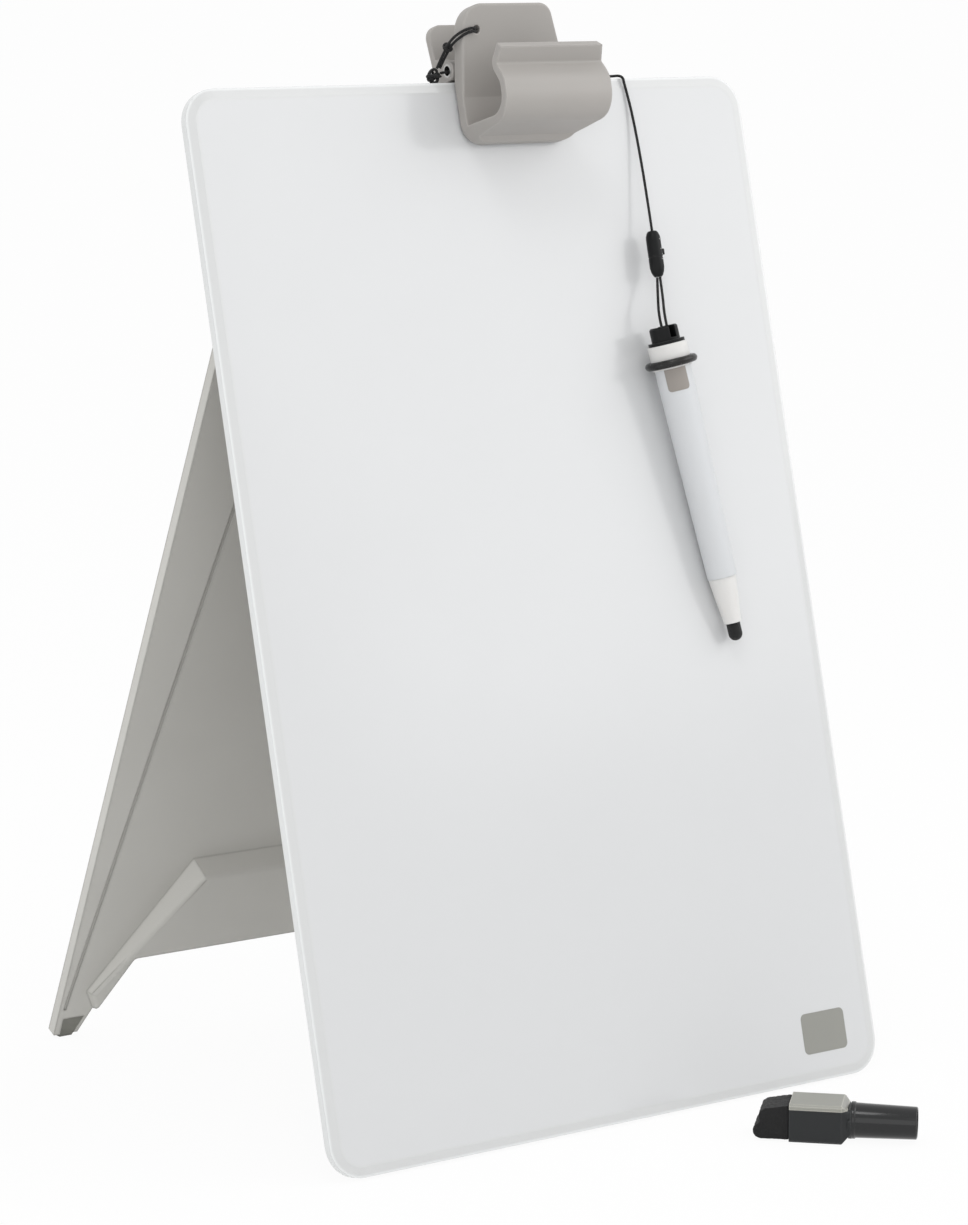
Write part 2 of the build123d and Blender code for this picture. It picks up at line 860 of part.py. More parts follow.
def make_rear_jaw():
    slope = cos(radians(rear_angle))
    side = make_face(
        Polyline(
            (rear_front, rear_bottom),
            (rear_front, rear_bend_up),
            (rear_face_out(rear_top), rear_top),
            (rear_face_out(rear_top) - rear_thick / slope, rear_top),
            (rear_front - rear_thick, rear_bend_up),
            (rear_front - rear_thick, rear_bottom),
            close=True,
        )
    )
    plate = side_extrude(side, clip_left, clip_width)
    height = rear_top - rear_bottom
    outline = Pos(clip_middle, rear_bottom + height / 2) * RectangleRounded(
        clip_width, height, rear_corner
    )
    jaw = plate & extrude(Pos(0, 0, -deep) * outline, deep)
    reach = rear_face_out(pivot_height) - rear_web_bite
    web = knuckle_side(reach, pivot_height - rear_web_low, pivot_height + rear_web_high)
    for x in (clip_left, clip_right - rear_knuckle):
        jaw += side_extrude(web, x, rear_knuckle)
    jaw -= pivot_hole(clip_left - 1, clip_width + 2, pivot_tube)
    return lean_back(jaw)


def make_pivot_tube():
    tube = pivot_hole(clip_left, clip_width, pivot_tube) - pivot_hole(clip_left - 1, clip_width + 2, pivot_bore)
    return lean_back(tube)


def coil_point(turn, x_from):
    """A point on the spring's coil, drawn as (x, up the panel, out of the glass)."""
    angle = 2 * pi * turn
    return (
        x_from + spring_pitch * turn,
        pivot_height + spring_mean * cos(angle),
        -pivot_back + spring_mean * sin(angle),
    )


def make_spring():
    """Torsion spring: one unbroken wire, coiled about the tube, with a straight leg at each end."""
    x_from = clip_middle - spring_pitch * (spring_turns - 0.5) / 2
    start_turn = 0.25
    quarters = 4 * spring_turns - 2
    path = []
    for quarter in range(quarters):
        turn = start_turn + quarter / 4
        path.append(
            ThreePointArc(
                coil_point(turn, x_from), coil_point(turn + 0.125, x_from), coil_point(turn + 0.25, x_from)
            )
        )
    first = Vector(*coil_point(start_turn, x_from))
    last = Vector(*coil_point(start_turn + quarters / 4, x_from))
    path.insert(0, Line(first + Vector(0, spring_leg, 0), first))
    path.append(Line(last, last + Vector(0, spring_leg, 0)))
    wire = Wire([part.edge() if hasattr(part, "edge") else part for part in path])
    section = Plane(origin=wire @ 0, z_dir=wire % 0) * RegularPolygon(spring_wire / 2, cord_sides)
    print("spring gap between turns", round(spring_pitch - spring_wire, 2))
    return lean_back(sweep(section, path=wire))


# ---------------------------------------------------------------- lanyard
def corner_radii(points, share=0.45):
    """An arc for each corner, as large as its two runs allow."""
    radii = []
    for before, here, after in zip(points, points[1:], points[2:]):
        into = Vector(*here) - Vector(*before)
        out = Vector(*after) - Vector(*here)
        turn = radians(into.get_angle(out))
        radii.append(share * min(into.length, out.length) / tan(turn / 2))
    return radii


def make_cord(name, route, diameter):
    return lean_back(cord_tube(name, route, diameter))


def cord_tube(name, route, diameter):
    """A cord's tube: straight runs joined by tangent arcs."""
    radii = corner_radii(route)
    line = FilletPolyline(*route, radius=tuple(radii))
    section = Plane(origin=line @ 0, z_dir=line % 0) * RegularPolygon(diameter / 2, cord_sides)
    tube = sweep(section, path=line)
    expected = section.area * line.length
    print(
        name, "radii", [round(radius, 1) for radius in radii], "length", round(line.length, 1),
        "volume", round(tube.volume, 1), "of", round(expected, 1),
    )
    return tube


def make_ball(place, radius):
    """A knot: a ball turned from a faceted half circle."""
    steps = knot_sides // 2
    outline = [
        (radius * sin(pi * step / steps), -radius * cos(pi * step / steps)) for step in range(steps + 1)
    ]
    outline[0] = (0, -radius)
    outline[-1] = (0, radius)
    return Pos(*on_panel(*place)) * turned(outline)


def make_tie_knot():
    """A knot that the tie's two strands pass through."""
    return make_ball(tie_knot_place, tie_knot) - make_cord("tie inside its knot", tie_route, cord + 2 * knot_gap)


def make_stop_knot():
    """The knot behind the jaw's hole, open for the turn of the tie."""
    room = Pos(tie_hole_x, tie_hole_up, turn_out + stop_knot) * Box(
        cord + 2 * knot_gap, turn_height, 2 * stop_knot
    )
    return make_ball(stop_knot_place, stop_knot) - lean_back(room)


def make_connector():
    """Oval connector between the single cord and the loop, with its latch on one side."""
    top = on_panel(*drop_route[-1])
    line = on_panel(*connector_bottom) - top
    length = line.length
    frame = Plane(origin=top, x_dir=panel.z_dir.cross(line), z_dir=line)
    body = turned([
        (0, 0),
        (connector_end, 0),
        (connector_shoulder, connector_bevel),
        (connector_radius, connector_dome),
        (connector_radius, length - connector_dome),
        (connector_shoulder, length - connector_bevel),
        (connector_end, length),
        (0, length),
    ])
    latch = Pos(connector_radius, 0, latch_down) * Box(2 * latch_proud, latch_width, latch_length)
    return frame.location * (body + latch)


def make_loop():
    """The loop from the connector round the bar in the pen's end plug."""
    top = pen.to_local_coords(on_panel(*connector_bottom))
    reach = bar_radius + cord / 2 + press_gap * 5
    straight = bar_station - loop_straight
    middle = (top.Z + straight) / 2
    half_x = top.X / 2
    half_y = top.Y / 2
    route = [
        (top.X + strand_spread, top.Y, top.Z + strand_start),
        (half_x + loop_spread, half_y + reach / 2, middle),
        (0, reach, straight),
        (0, reach, bar_station + reach),
        (0, -reach, bar_station + reach),
        (0, -reach, straight),
        (half_x - loop_spread, half_y - reach / 2, middle),
        (top.X - strand_spread, top.Y, top.Z + strand_start),
    ]
    return place_pen(cord_tube("lanyard_loop", route, cord))


# ---------------------------------------------------------------- pen
ring_point = on_panel(*ring_place)
nib_point = on_panel(*nib_place)
pen_line = nib_point - ring_point
pen_length = pen_line.length
pen = Plane(origin=ring_point, x_dir=panel.z_dir.cross(pen_line), z_dir=pen_line)


def turned(points):
    """Revolve a profile of (radius, station) about the pen's axis."""
    face = make_face(Plane.XZ * Polyline(*points, close=True))
    return revolve(face, Axis.Z)


def place_pen(part):
    return pen.location * part


def make_plug():
    plug = turned([
        (0, plug_top),
        (plug_radius - 0.5, plug_top),
        (plug_radius, plug_top + 0.5),
        (plug_radius, flange_top),
        (flange_radius, flange_top),
        (flange_radius, collar_top),
        (plug_spigot, collar_top),
        (plug_spigot, collar_top + plug_spigot_length),
        (0, collar_top + plug_spigot_length),
    ])
    slot_low = bar_station + bar_radius + cord + slot_foot
    slot_height = slot_low - plug_top + 1
    slot = Pos(0, -plug_radius / 2, slot_low - slot_height / 2) * Box(slot_width, 3 * plug_radius, slot_height)
    slot -= Pos(0, 0, bar_station) * (Rot(0, 90, 0) * Cylinder(bar_radius, 2 * plug_radius))
    return place_pen(plug - slot)


def make_collar():
    half = ring_section - 0.15
    collar = turned([
        (barrel_spigot + 0.05, collar_top),
        (collar_radius - 0.3, collar_top),
        (collar_radius, collar_top + 0.3),
        (collar_radius, -half),
        (ring_groove, -half),
        (ring_groove, half),
        (collar_radius, half),
        (collar_radius, collar_end),
        (barrel_spigot + 0.05, collar_end),
    ])
    return place_pen(collar)


def make_ring():
    seat = ring_groove + ring_seat + ring_section
    section = Plane.XZ * (Pos(seat, 0) * RegularPolygon(ring_section, ring_sides))
    return place_pen(revolve(section, Axis.Z))


def make_barrel():
    barrel = turned([
        (barrel_bore, collar_top),
        (barrel_spigot, collar_top),
        (barrel_spigot, collar_end),
        (barrel_top_radius, collar_end),
        (barrel_top_radius, collar_end + 8),
        (barrel_low_radius, barrel_end),
        (barrel_bore, barrel_end),
    ])
    return place_pen(barrel)


def make_holder():
    holder = turned([
        (nib_stem + 0.05, barrel_end - holder_spigot_length),
        (holder_spigot, barrel_end - holder_spigot_length),
        (holder_spigot, barrel_end),
        (holder_top_radius, barrel_end),
        (holder_top_radius - 0.5, barrel_end + 5),
        (holder_end_radius, holder_end),
        (nib_stem + 0.05, holder_end),
    ])
    return place_pen(holder)


def make_nib():
    tip = pen_length
    stem = turned([
        (0, holder_end - nib_stem_length),
        (nib_stem, holder_end - nib_stem_length),
        (nib_stem, holder_end),
        (nib_radius, holder_end),
        (nib_radius, tip - nib_radius),
        (0, tip - nib_radius),
    ])
    dome = Pos(0, 0, tip - nib_radius) * Sphere(nib_radius)
    return place_pen(stem + dome)


def make_reservoir():
    start = collar_top + plug_spigot_length
    end = barrel_end - holder_spigot_length
    body = Pos(0, 0, (start + end) / 2) * Cylinder(reservoir_radius, end - start)
    return place_pen(body)


# ---------------------------------------------------------------- cap
def place_cap(part):
    return Pos(cap_x, cap_y, 0) * Rot(0, 0, cap_turn) * part


def cap_block():
    """The block's outer form, drawn along x from its left end."""
    block = Pos(block_length / 2, 0, block_height / 2) * Box(block_length, block_width, block_height)
    block = chamfer(block.faces().sort_by(Axis.X)[-1].edges(), block_chamfer)
    return chamfer(block.edges().filter_by(Axis.X), block_edge)


def along_cap(start, part):
    """Place a turned piece, drawn up Z, along the cap's axis."""
    return Pos(start, 0, block_height / 2) * (Rot(0, 90, 0) * part)


def magnet_block(gap):
    z = block_height - plate_thick - magnet_thick / 2
    return Pos(block_length / 2 - 1, 0, z) * Box(magnet_length + 2 * gap, magnet_width + 2 * gap, magnet_thick)


def make_cap_sleeve():
    """Block and sleeve in one moulding."""
    outline = turned([
        (0, -1),
        (sleeve_collar, -1),
        (sleeve_collar, sleeve_collar_length - 0.4),
        (sleeve_root, sleeve_collar_length),
        (sleeve_mouth, sleeve_length),
        (0, sleeve_length),
    ])
    bore = Pos(0, 0, cap_bore_length / 2) * Cylinder(cap_bore, cap_bore_length + 2)
    cap = cap_block() + along_cap(block_length, outline)
    cap -= along_cap(block_length + sleeve_length - cap_bore_length + 1, bore)
    cap -= Pos(0, 0, block_height - plate_thick + deep / 2) * Box(3 * block_length, 2 * block_width, deep)
    return place_cap(cap - magnet_block(magnet_gap))


def make_cap_plate():
    below = Pos(0, 0, block_height - plate_thick - deep / 2) * Box(3 * block_length, 2 * block_width, deep)
    return place_cap(cap_block() - below)


def make_cap_magnet():
    return place_cap(magnet_block(0))


def make_cap_eraser():
    """Felt block with a sloping top and a wavy wiping end."""
    low = (block_height - eraser_height) / 2
    high = low + eraser_height
    end = -eraser_length + eraser_wave
    top = (end, high - eraser_drop)
    middle = (end + 0.4, low + eraser_wave_up + eraser_wave)
    bottom = (end, low)
    upper = ThreePointArc(top, (end + 0.1, (top[1] + middle[1]) / 2), middle)
    lower = ThreePointArc(middle, (-eraser_length, low + eraser_wave_up / 2), bottom)
    edge = Polyline(bottom, (0, low), (0, high), (end + eraser_wave, top[1] + 1.2), top)
    side = make_face(upper + lower + edge)
    return place_cap(extrude(Plane.XZ * side, eraser_width / 2, both=True))


# ---------------------------------------------------------------- build
def main():
    save(make_glass(), "glass_panel")
    save(make_sheet(), "steel_sheet")
    save(make_frame(), "back_frame")
    save(make_strip(), "desk_strip")
    save(make_hinge_pin(-1), "hinge_pin_left")
    save(make_hinge_pin(1), "hinge_pin_right")

    save(make_leg(), "rear_leg")
    save(make_pad(-1), "leg_pad_left")
    save(make_pad(1), "leg_pad_right")

    save(make_rear_jaw(), "clip_rear_jaw")
    save(make_grip_pad(-(glass_thickness + sheet_thickness + clip_clearance + grip_pad)), "clip_rear_pad")
    save(make_pivot_tube(), "clip_pivot_tube")
    save(make_spring(), "clip_spring")
    save(make_front_jaw(), "clip_front_jaw")
    save(make_grip_pad(clip_clearance), "clip_front_pad")

    save(make_cord("lanyard_lead", lead_route, cord), "lanyard_lead")
    save(make_ball(knot_place, knot), "lanyard_knot")
    save(make_cord("lanyard_tie", tie_route, cord), "lanyard_tie")
    save(make_tie_knot(), "lanyard_tie_knot")
    save(make_stop_knot(), "lanyard_stop_knot")
    save(make_cord("lanyard_drop", drop_route, cord), "lanyard_drop")
    save(make_connector(), "lanyard_connector")
    save(make_loop(), "lanyard_loop")

    save(make_plug(), "pen_end_plug")
    save(make_collar(), "pen_collar")
    save(make_ring(), "pen_ring")
    save(make_barrel(), "pen_barrel")
    save(make_reservoir(), "pen_ink_reservoir")
    save(make_holder(), "pen_tip_holder")
    save(make_nib(), "pen_nib")

    save(make_cap_sleeve(), "cap_sleeve")
    save(make_cap_plate(), "cap_plate")
    save(make_cap_magnet(), "cap_magnet")
    save(make_cap_eraser(), "cap_eraser")


if __name__ == "__main__":
    main()
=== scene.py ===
import json
from math import atan2, cos, pi, radians, sin

import bpy
from mathutils import Euler, Matrix, Vector


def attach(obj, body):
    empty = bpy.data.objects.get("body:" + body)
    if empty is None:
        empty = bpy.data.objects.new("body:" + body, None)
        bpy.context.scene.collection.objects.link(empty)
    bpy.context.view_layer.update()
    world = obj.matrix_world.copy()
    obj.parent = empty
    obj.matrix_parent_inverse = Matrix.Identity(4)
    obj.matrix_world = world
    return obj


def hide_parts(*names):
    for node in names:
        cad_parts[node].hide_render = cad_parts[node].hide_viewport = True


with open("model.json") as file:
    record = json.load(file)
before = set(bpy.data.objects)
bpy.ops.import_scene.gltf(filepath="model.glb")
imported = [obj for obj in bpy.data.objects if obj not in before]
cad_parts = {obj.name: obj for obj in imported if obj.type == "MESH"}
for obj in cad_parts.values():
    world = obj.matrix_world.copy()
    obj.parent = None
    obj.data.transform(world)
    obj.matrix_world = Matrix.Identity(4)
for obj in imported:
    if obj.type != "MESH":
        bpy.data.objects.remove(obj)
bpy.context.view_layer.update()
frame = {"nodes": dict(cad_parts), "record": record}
nodes = frame["nodes"]
print("frame loaded:", len(nodes), "nodes")

millimetre = 0.001

panel = {
    "lean": radians(14.36),
    "foot": Vector((0.0, -0.0072026, 0.0013)),  # middle of the glass's lower front edge
    "width": 0.215,
    "height": 0.336,
    "corner": 0.011,
    "border": 0.0034,                           # width of the polished border
}


def planeMatrix(origin, across, up, out):
    rows = [[across[i], up[i], out[i], origin[i]] for i in range(3)]
    return Matrix(rows + [[0, 0, 0, 1]])


panelMatrix = planeMatrix(
    panel["foot"],
    Vector((1, 0, 0)),
    Vector((0, sin(panel["lean"]), cos(panel["lean"]))),
    Vector((0, -cos(panel["lean"]), sin(panel["lean"]))),
)


def onPanel(x, up, out=0.0):
    return panelMatrix @ Vector((x, up, out))


# ------------------------------------------------ finishes
def srgb(code):
    # "a5a39f" to the linear colour that a shader takes
    channels = [int(code[i:i + 2], 16) / 255 for i in (0, 2, 4)]
    return [c / 12.92 if c <= 0.04045 else ((c + 0.055) / 1.055) ** 2.4 for c in channels] + [1.0]


def addNode(tree, kind, inputs=None, **settings):
    made = tree.nodes.new(kind)
    for name, value in settings.items():
        setattr(made, name, value)
    for name, value in (inputs or {}).items():
        if isinstance(value, bpy.types.NodeSocket):
            tree.links.new(value, made.inputs[name])
        else:
            made.inputs[name].default_value = value
    return made


def newMaterial(name):
    material = bpy.data.materials.new(name)
    material.use_nodes = True
    tree = material.node_tree
    tree.nodes.clear()
    return material, tree


def finishMaterial(tree, shader):
    output = addNode(tree, "ShaderNodeOutputMaterial")
    tree.links.new(shader.outputs["BSDF"], output.inputs["Surface"])


def softEdges(tree, radius, samples=6):
    return addNode(tree, "ShaderNodeBevel", {"Radius": radius}, samples=samples).outputs["Normal"]


def grain(tree, size, depth, normal, detail=3.0):
    # a fine random texture, size and depth in metres
    place = addNode(tree, "ShaderNodeTexCoord").outputs["Object"]
    noise = addNode(tree, "ShaderNodeTexNoise", {"Vector": place, "Scale": 1 / size, "Detail": detail})
    bump = addNode(tree, "ShaderNodeBump", {
        "Height": noise.outputs["Fac"], "Distance": depth, "Strength": 1.0, "Normal": normal,
    })
    return bump.outputs["Normal"]


def drift(tree, size, low, high, detail=2.0):
    # a slow change from one value to another over the surface
    place = addNode(tree, "ShaderNodeTexCoord").outputs["Object"]
    noise = addNode(tree, "ShaderNodeTexNoise", {"Vector": place, "Scale": 1 / size, "Detail": detail})
    spread = addNode(tree, "ShaderNodeMapRange", {
        "Value": noise.outputs["Fac"], "From Min": 0.3, "From Max": 0.7, "To Min": low, "To Max": high,
    })
    return spread.outputs["Result"]


def twoTone(tree, share, first, second):
    mix = addNode(tree, "ShaderNodeMix", {"Factor": share}, data_type="RGBA")
    for name, colour in (("A", first), ("B", second)):
        socket = [s for s in mix.inputs if s.name == name and s.type == "RGBA"][0]
        if isinstance(colour, bpy.types.NodeSocket):
            tree.links.new(colour, socket)
        else:
            socket.default_value = colour
    return [s for s in mix.outputs if s.type == "RGBA"][0]


def edgeShare(tree, radius, gain):
    # 0 on flat faces, rising to 1 where an edge is within the radius: there the edge colour is laid on, a painted
    # highlight along the edges with some wear where it is paler, and painted shade where it is darker than the face
    rounded = addNode(tree, "ShaderNodeBevel", {"Radius": radius}, samples=6).outputs["Normal"]
    true = addNode(tree, "ShaderNodeNewGeometry").outputs["Normal"]
    dot = addNode(tree, "ShaderNodeVectorMath", {0: rounded, 1: true}, operation="DOT_PRODUCT")
    share = addNode(tree, "ShaderNodeMapRange", {
        "Value": dot.outputs["Value"], "From Min": 1.0, "From Max": 1.0 - 1 / gain, "To Min": 0.0, "To Max": 1.0,
    })
    return share.outputs["Result"]


glassFinish = {
    "face": "d2d3d4",
    "border": "d0d1d1",
    "edge": "e2e4e4",
    "roughness": 0.16,
}


def whiteGlass():
    # toughened float glass, lacquered white behind: even white, a clear gloss, and a greyer
    # border where the polished bevel shows the glass instead of the lacquer
    material, tree = newMaterial("toughened glass, lacquered")
    place = addNode(tree, "ShaderNodeTexCoord").outputs["Object"]
    flat = addNode(tree, "ShaderNodeMapping", {
        "Vector": place,
        "Location": panelMatrix.translation,
        "Rotation": panelMatrix.to_euler(),
    }, vector_type="TEXTURE").outputs["Vector"]
    middle = addNode(tree, "ShaderNodeVectorMath", {
        0: flat, 1: (0.0, panel["height"] / 2, 0.0),
    }, operation="SUBTRACT").outputs["Vector"]
    size = addNode(tree, "ShaderNodeVectorMath", {0: middle}, operation="ABSOLUTE").outputs["Vector"]
    corner = (panel["width"] / 2 - panel["corner"], panel["height"] / 2 - panel["corner"], 1.0)
    beyond = addNode(tree, "ShaderNodeVectorMath", {0: size, 1: corner}, operation="SUBTRACT").outputs["Vector"]
    outer = addNode(tree, "ShaderNodeVectorMath", {0: beyond, 1: (0, 0, 0)}, operation="MAXIMUM")
    length = addNode(tree, "ShaderNodeVectorMath", {0: outer.outputs["Vector"]}, operation="LENGTH")
    split = addNode(tree, "ShaderNodeSeparateXYZ", {"Vector": beyond})
    inner = addNode(tree, "ShaderNodeMath", {0: split.outputs["X"], 1: split.outputs["Y"]}, operation="MAXIMUM")
    inner = addNode(tree, "ShaderNodeMath", {0: inner.outputs["Value"], 1: 0.0}, operation="MINIMUM")
    reach = addNode(tree, "ShaderNodeMath", {
        0: length.outputs["Value"], 1: inner.outputs["Value"],
    }, operation="ADD").outputs["Value"]        # 0 on the corner circle's centre line, the radius at the edge
    border = addNode(tree, "ShaderNodeMapRange", {
        "Value": reach,
        "From Min": panel["corner"] - panel["border"] - 0.0012,
        "From Max": panel["corner"] - panel["border"] + 0.0004,
    }, interpolation_type="SMOOTHSTEP").outputs["Result"]
    rim = addNode(tree, "ShaderNodeMapRange", {
        "Value": reach,
        "From Min": panel["corner"] - 0.0011,
        "From Max": panel["corner"] - 0.0002,
    }, interpolation_type="SMOOTHSTEP").outputs["Result"]
    face = twoTone(tree, border, srgb(glassFinish["face"]), srgb(glassFinish["border"]))
    colour = twoTone(tree, rim, face, srgb(glassFinish["edge"]))
    normal = grain(tree, 0.03, 0.000004, softEdges(tree, 0.0003), detail=1.0)  # roller wave of float glass
    shader = addNode(tree, "ShaderNodeBsdfPrincipled", {
        "Base Color": colour,
        "Roughness": drift(tree, 0.06, glassFinish["roughness"] - 0.03, glassFinish["roughness"] + 0.04),
        "IOR": 1.52,
        "Normal": normal,
    })
    finishMaterial(tree, shader)
    return material


def mouldedPlastic(name, colour, shade, roughness, grainSize, grainDepth, edge, paintedEdgeColour=None, gloss=0.5):
    # injection-moulded thermoplastic from a spark-eroded tool: an even satin with a fine pebble grain
    material, tree = newMaterial(name)
    tone = twoTone(tree, drift(tree, 0.05, 0.0, 1.0), srgb(colour), srgb(shade))
    # the edge colour over the edges: a paler one is a painted highlight with some wear, a darker one is painted shade
    if paintedEdgeColour:
        tone = twoTone(tree, edgeShare(tree, edge * 1.6, 6.0), tone, srgb(paintedEdgeColour))
    normal = grain(tree, grainSize, grainDepth, softEdges(tree, edge))
    shader = addNode(tree, "ShaderNodeBsdfPrincipled", {
        "Base Color": tone,
        "Roughness": drift(tree, 0.02, roughness - 0.04, roughness + 0.04),
        "IOR": 1.5,
        "Specular IOR Level": gloss,
        "Normal": normal,
    })
    finishMaterial(tree, shader)
    return material


def glossPlastic(name, colour, roughness, edge):
    # polypropylene from a polished tool: deep colour, with a clear, slightly wavy reflection
    material, tree = newMaterial(name)
    normal = grain(tree, 0.006, 0.000006, softEdges(tree, edge), detail=1.0)
    shader = addNode(tree, "ShaderNodeBsdfPrincipled", {
        "Base Color": srgb(colour),
        "Roughness": drift(tree, 0.01, roughness - 0.03, roughness + 0.05),
        "IOR": 1.5,
        "Specular IOR Level": 0.35,
        "Coat Weight": 0.15,
        "Coat Roughness": 0.08,
        "Normal": normal,
    })
    finishMaterial(tree, shader)
    return material


def milkyPlastic(name, colour, roughness, milk, sheen=0.0):
    # natural white polypropylene, thin enough for light to spread inside the wall
    material, tree = newMaterial(name)
    normal = grain(tree, 0.0012, 0.000006, softEdges(tree, 0.0003))
    shader = addNode(tree, "ShaderNodeBsdfPrincipled", {
        "Base Color": srgb(colour),
        "Roughness": drift(tree, 0.01, roughness - 0.04, roughness + 0.04),
        "IOR": 1.49,
        "Subsurface Weight": milk,
        "Subsurface Radius": (0.0022, 0.0021, 0.0020),
        "Subsurface Scale": 1.0,
        "Sheen Weight": sheen,
        "Sheen Roughness": 0.3,
        "Normal": normal,
    })
    finishMaterial(tree, shader)
    return material


def rubber(name, colour, shade, roughness):
    # moulded elastomer: dull and slightly dusty, with an orange-peel skin
    material, tree = newMaterial(name)
    tone = twoTone(tree, drift(tree, 0.008, 0.0, 1.0, detail=5.0), srgb(colour), srgb(shade))
    normal = grain(tree, 0.0004, 0.00001, softEdges(tree, 0.0003))
    shader = addNode(tree, "ShaderNodeBsdfPrincipled", {
        "Base Color": tone,
        "Roughness": drift(tree, 0.004, roughness - 0.06, roughness + 0.06),
        "IOR": 1.52,
        "Specular IOR Level": 0.35,
        "Normal": normal,
    })
    finishMaterial(tree, shader)
    return material


def drawnSteel(name, colour, roughness, edge):
    # steel with a thin zinc coat: grey metal with faint drawing marks along its length
    material, tree = newMaterial(name)
    place = addNode(tree, "ShaderNodeTexCoord").outputs["Object"]
    stretched = addNode(tree, "ShaderNodeMapping", {"Vector": place, "Scale": (0.08, 1.0, 1.0)}).outputs["Vector"]
    marks = addNode(tree, "ShaderNodeTexNoise", {"Vector": stretched, "Scale": 6000.0, "Detail": 3.0})
    bump = addNode(tree, "ShaderNodeBump", {
        "Height": marks.outputs["Fac"], "Distance": 0.000004, "Normal": softEdges(tree, edge),
    })
    shader = addNode(tree, "ShaderNodeBsdfPrincipled", {
        "Base Color": srgb(colour),
        "Metallic": 1.0,
        "Roughness": drift(tree, 0.004, roughness - 0.06, roughness + 0.08),
        "Normal": bump.outputs["Normal"],
    })
    finishMaterial(tree, shader)
    return material


cordWeave = {
    "pick": 0.0006,      # a real braid this thin has picks of about 0.4 mm; drawn coarser so that they show
    "colour": "141516",
    "worn": "2c2c2c",
}


def braidedCord():
    # braided polyester: two sets of yarns crossing at a steep angle, dull with a little sheen
    material, tree = newMaterial("braided polyester, black")
    place = addNode(tree, "ShaderNodeTexCoord").outputs["Object"]
    bumps = []
    for slant in (0.9, -0.9):
        turned = addNode(tree, "ShaderNodeMapping", {
            "Vector": place, "Rotation": (0.3, slant, slant),
        }).outputs["Vector"]
        wave = addNode(tree, "ShaderNodeTexWave", {
            "Vector": turned, "Scale": 1 / cordWeave["pick"] / 3.3, "Distortion": 1.2, "Detail": 1.0,
        })
        bumps.append(wave.outputs["Fac"])
    both = addNode(tree, "ShaderNodeMath", {0: bumps[0], 1: bumps[1]}, operation="MAXIMUM").outputs["Value"]
    colour = twoTone(tree, both, srgb(cordWeave["colour"]), srgb(cordWeave["worn"]))
    bump = addNode(tree, "ShaderNodeBump", {"Height": both, "Distance": 0.00012, "Strength": 0.8})
    shader = addNode(tree, "ShaderNodeBsdfPrincipled", {
        "Base Color": colour,
        "Roughness": 0.82,
        "Specular IOR Level": 0.2,
        "Sheen Weight": 0.1,
        "Sheen Roughness": 0.5,
        "Normal": bump.outputs["Normal"],
    })
    finishMaterial(tree, shader)
    return material


def felt(name, colour, shade, fibre):
    # pressed wool felt: no gloss, short loose fibres that catch the light at the rim
    material, tree = newMaterial(name)
    place = addNode(tree, "ShaderNodeTexCoord").outputs["Object"]
    fibres = addNode(tree, "ShaderNodeTexNoise", {
        "Vector": place, "Scale": 1 / fibre, "Detail": 6.0, "Roughness": 0.7, "Distortion": 1.5,
    }).outputs["Fac"]
    colour = twoTone(tree, fibres, srgb(colour), srgb(shade))
    bump = addNode(tree, "ShaderNodeBump", {"Height": fibres, "Distance": 0.0002, "Strength": 0.9})
    shader = addNode(tree, "ShaderNodeBsdfPrincipled", {
        "Base Color": colour,
        "Roughness": 0.95,
        "Specular IOR Level": 0.15,
        "Sheen Weight": 0.12,
        "Sheen Roughness": 0.6,
        "Normal": bump.outputs["Normal"],
    })
    finishMaterial(tree, shader)
    return material


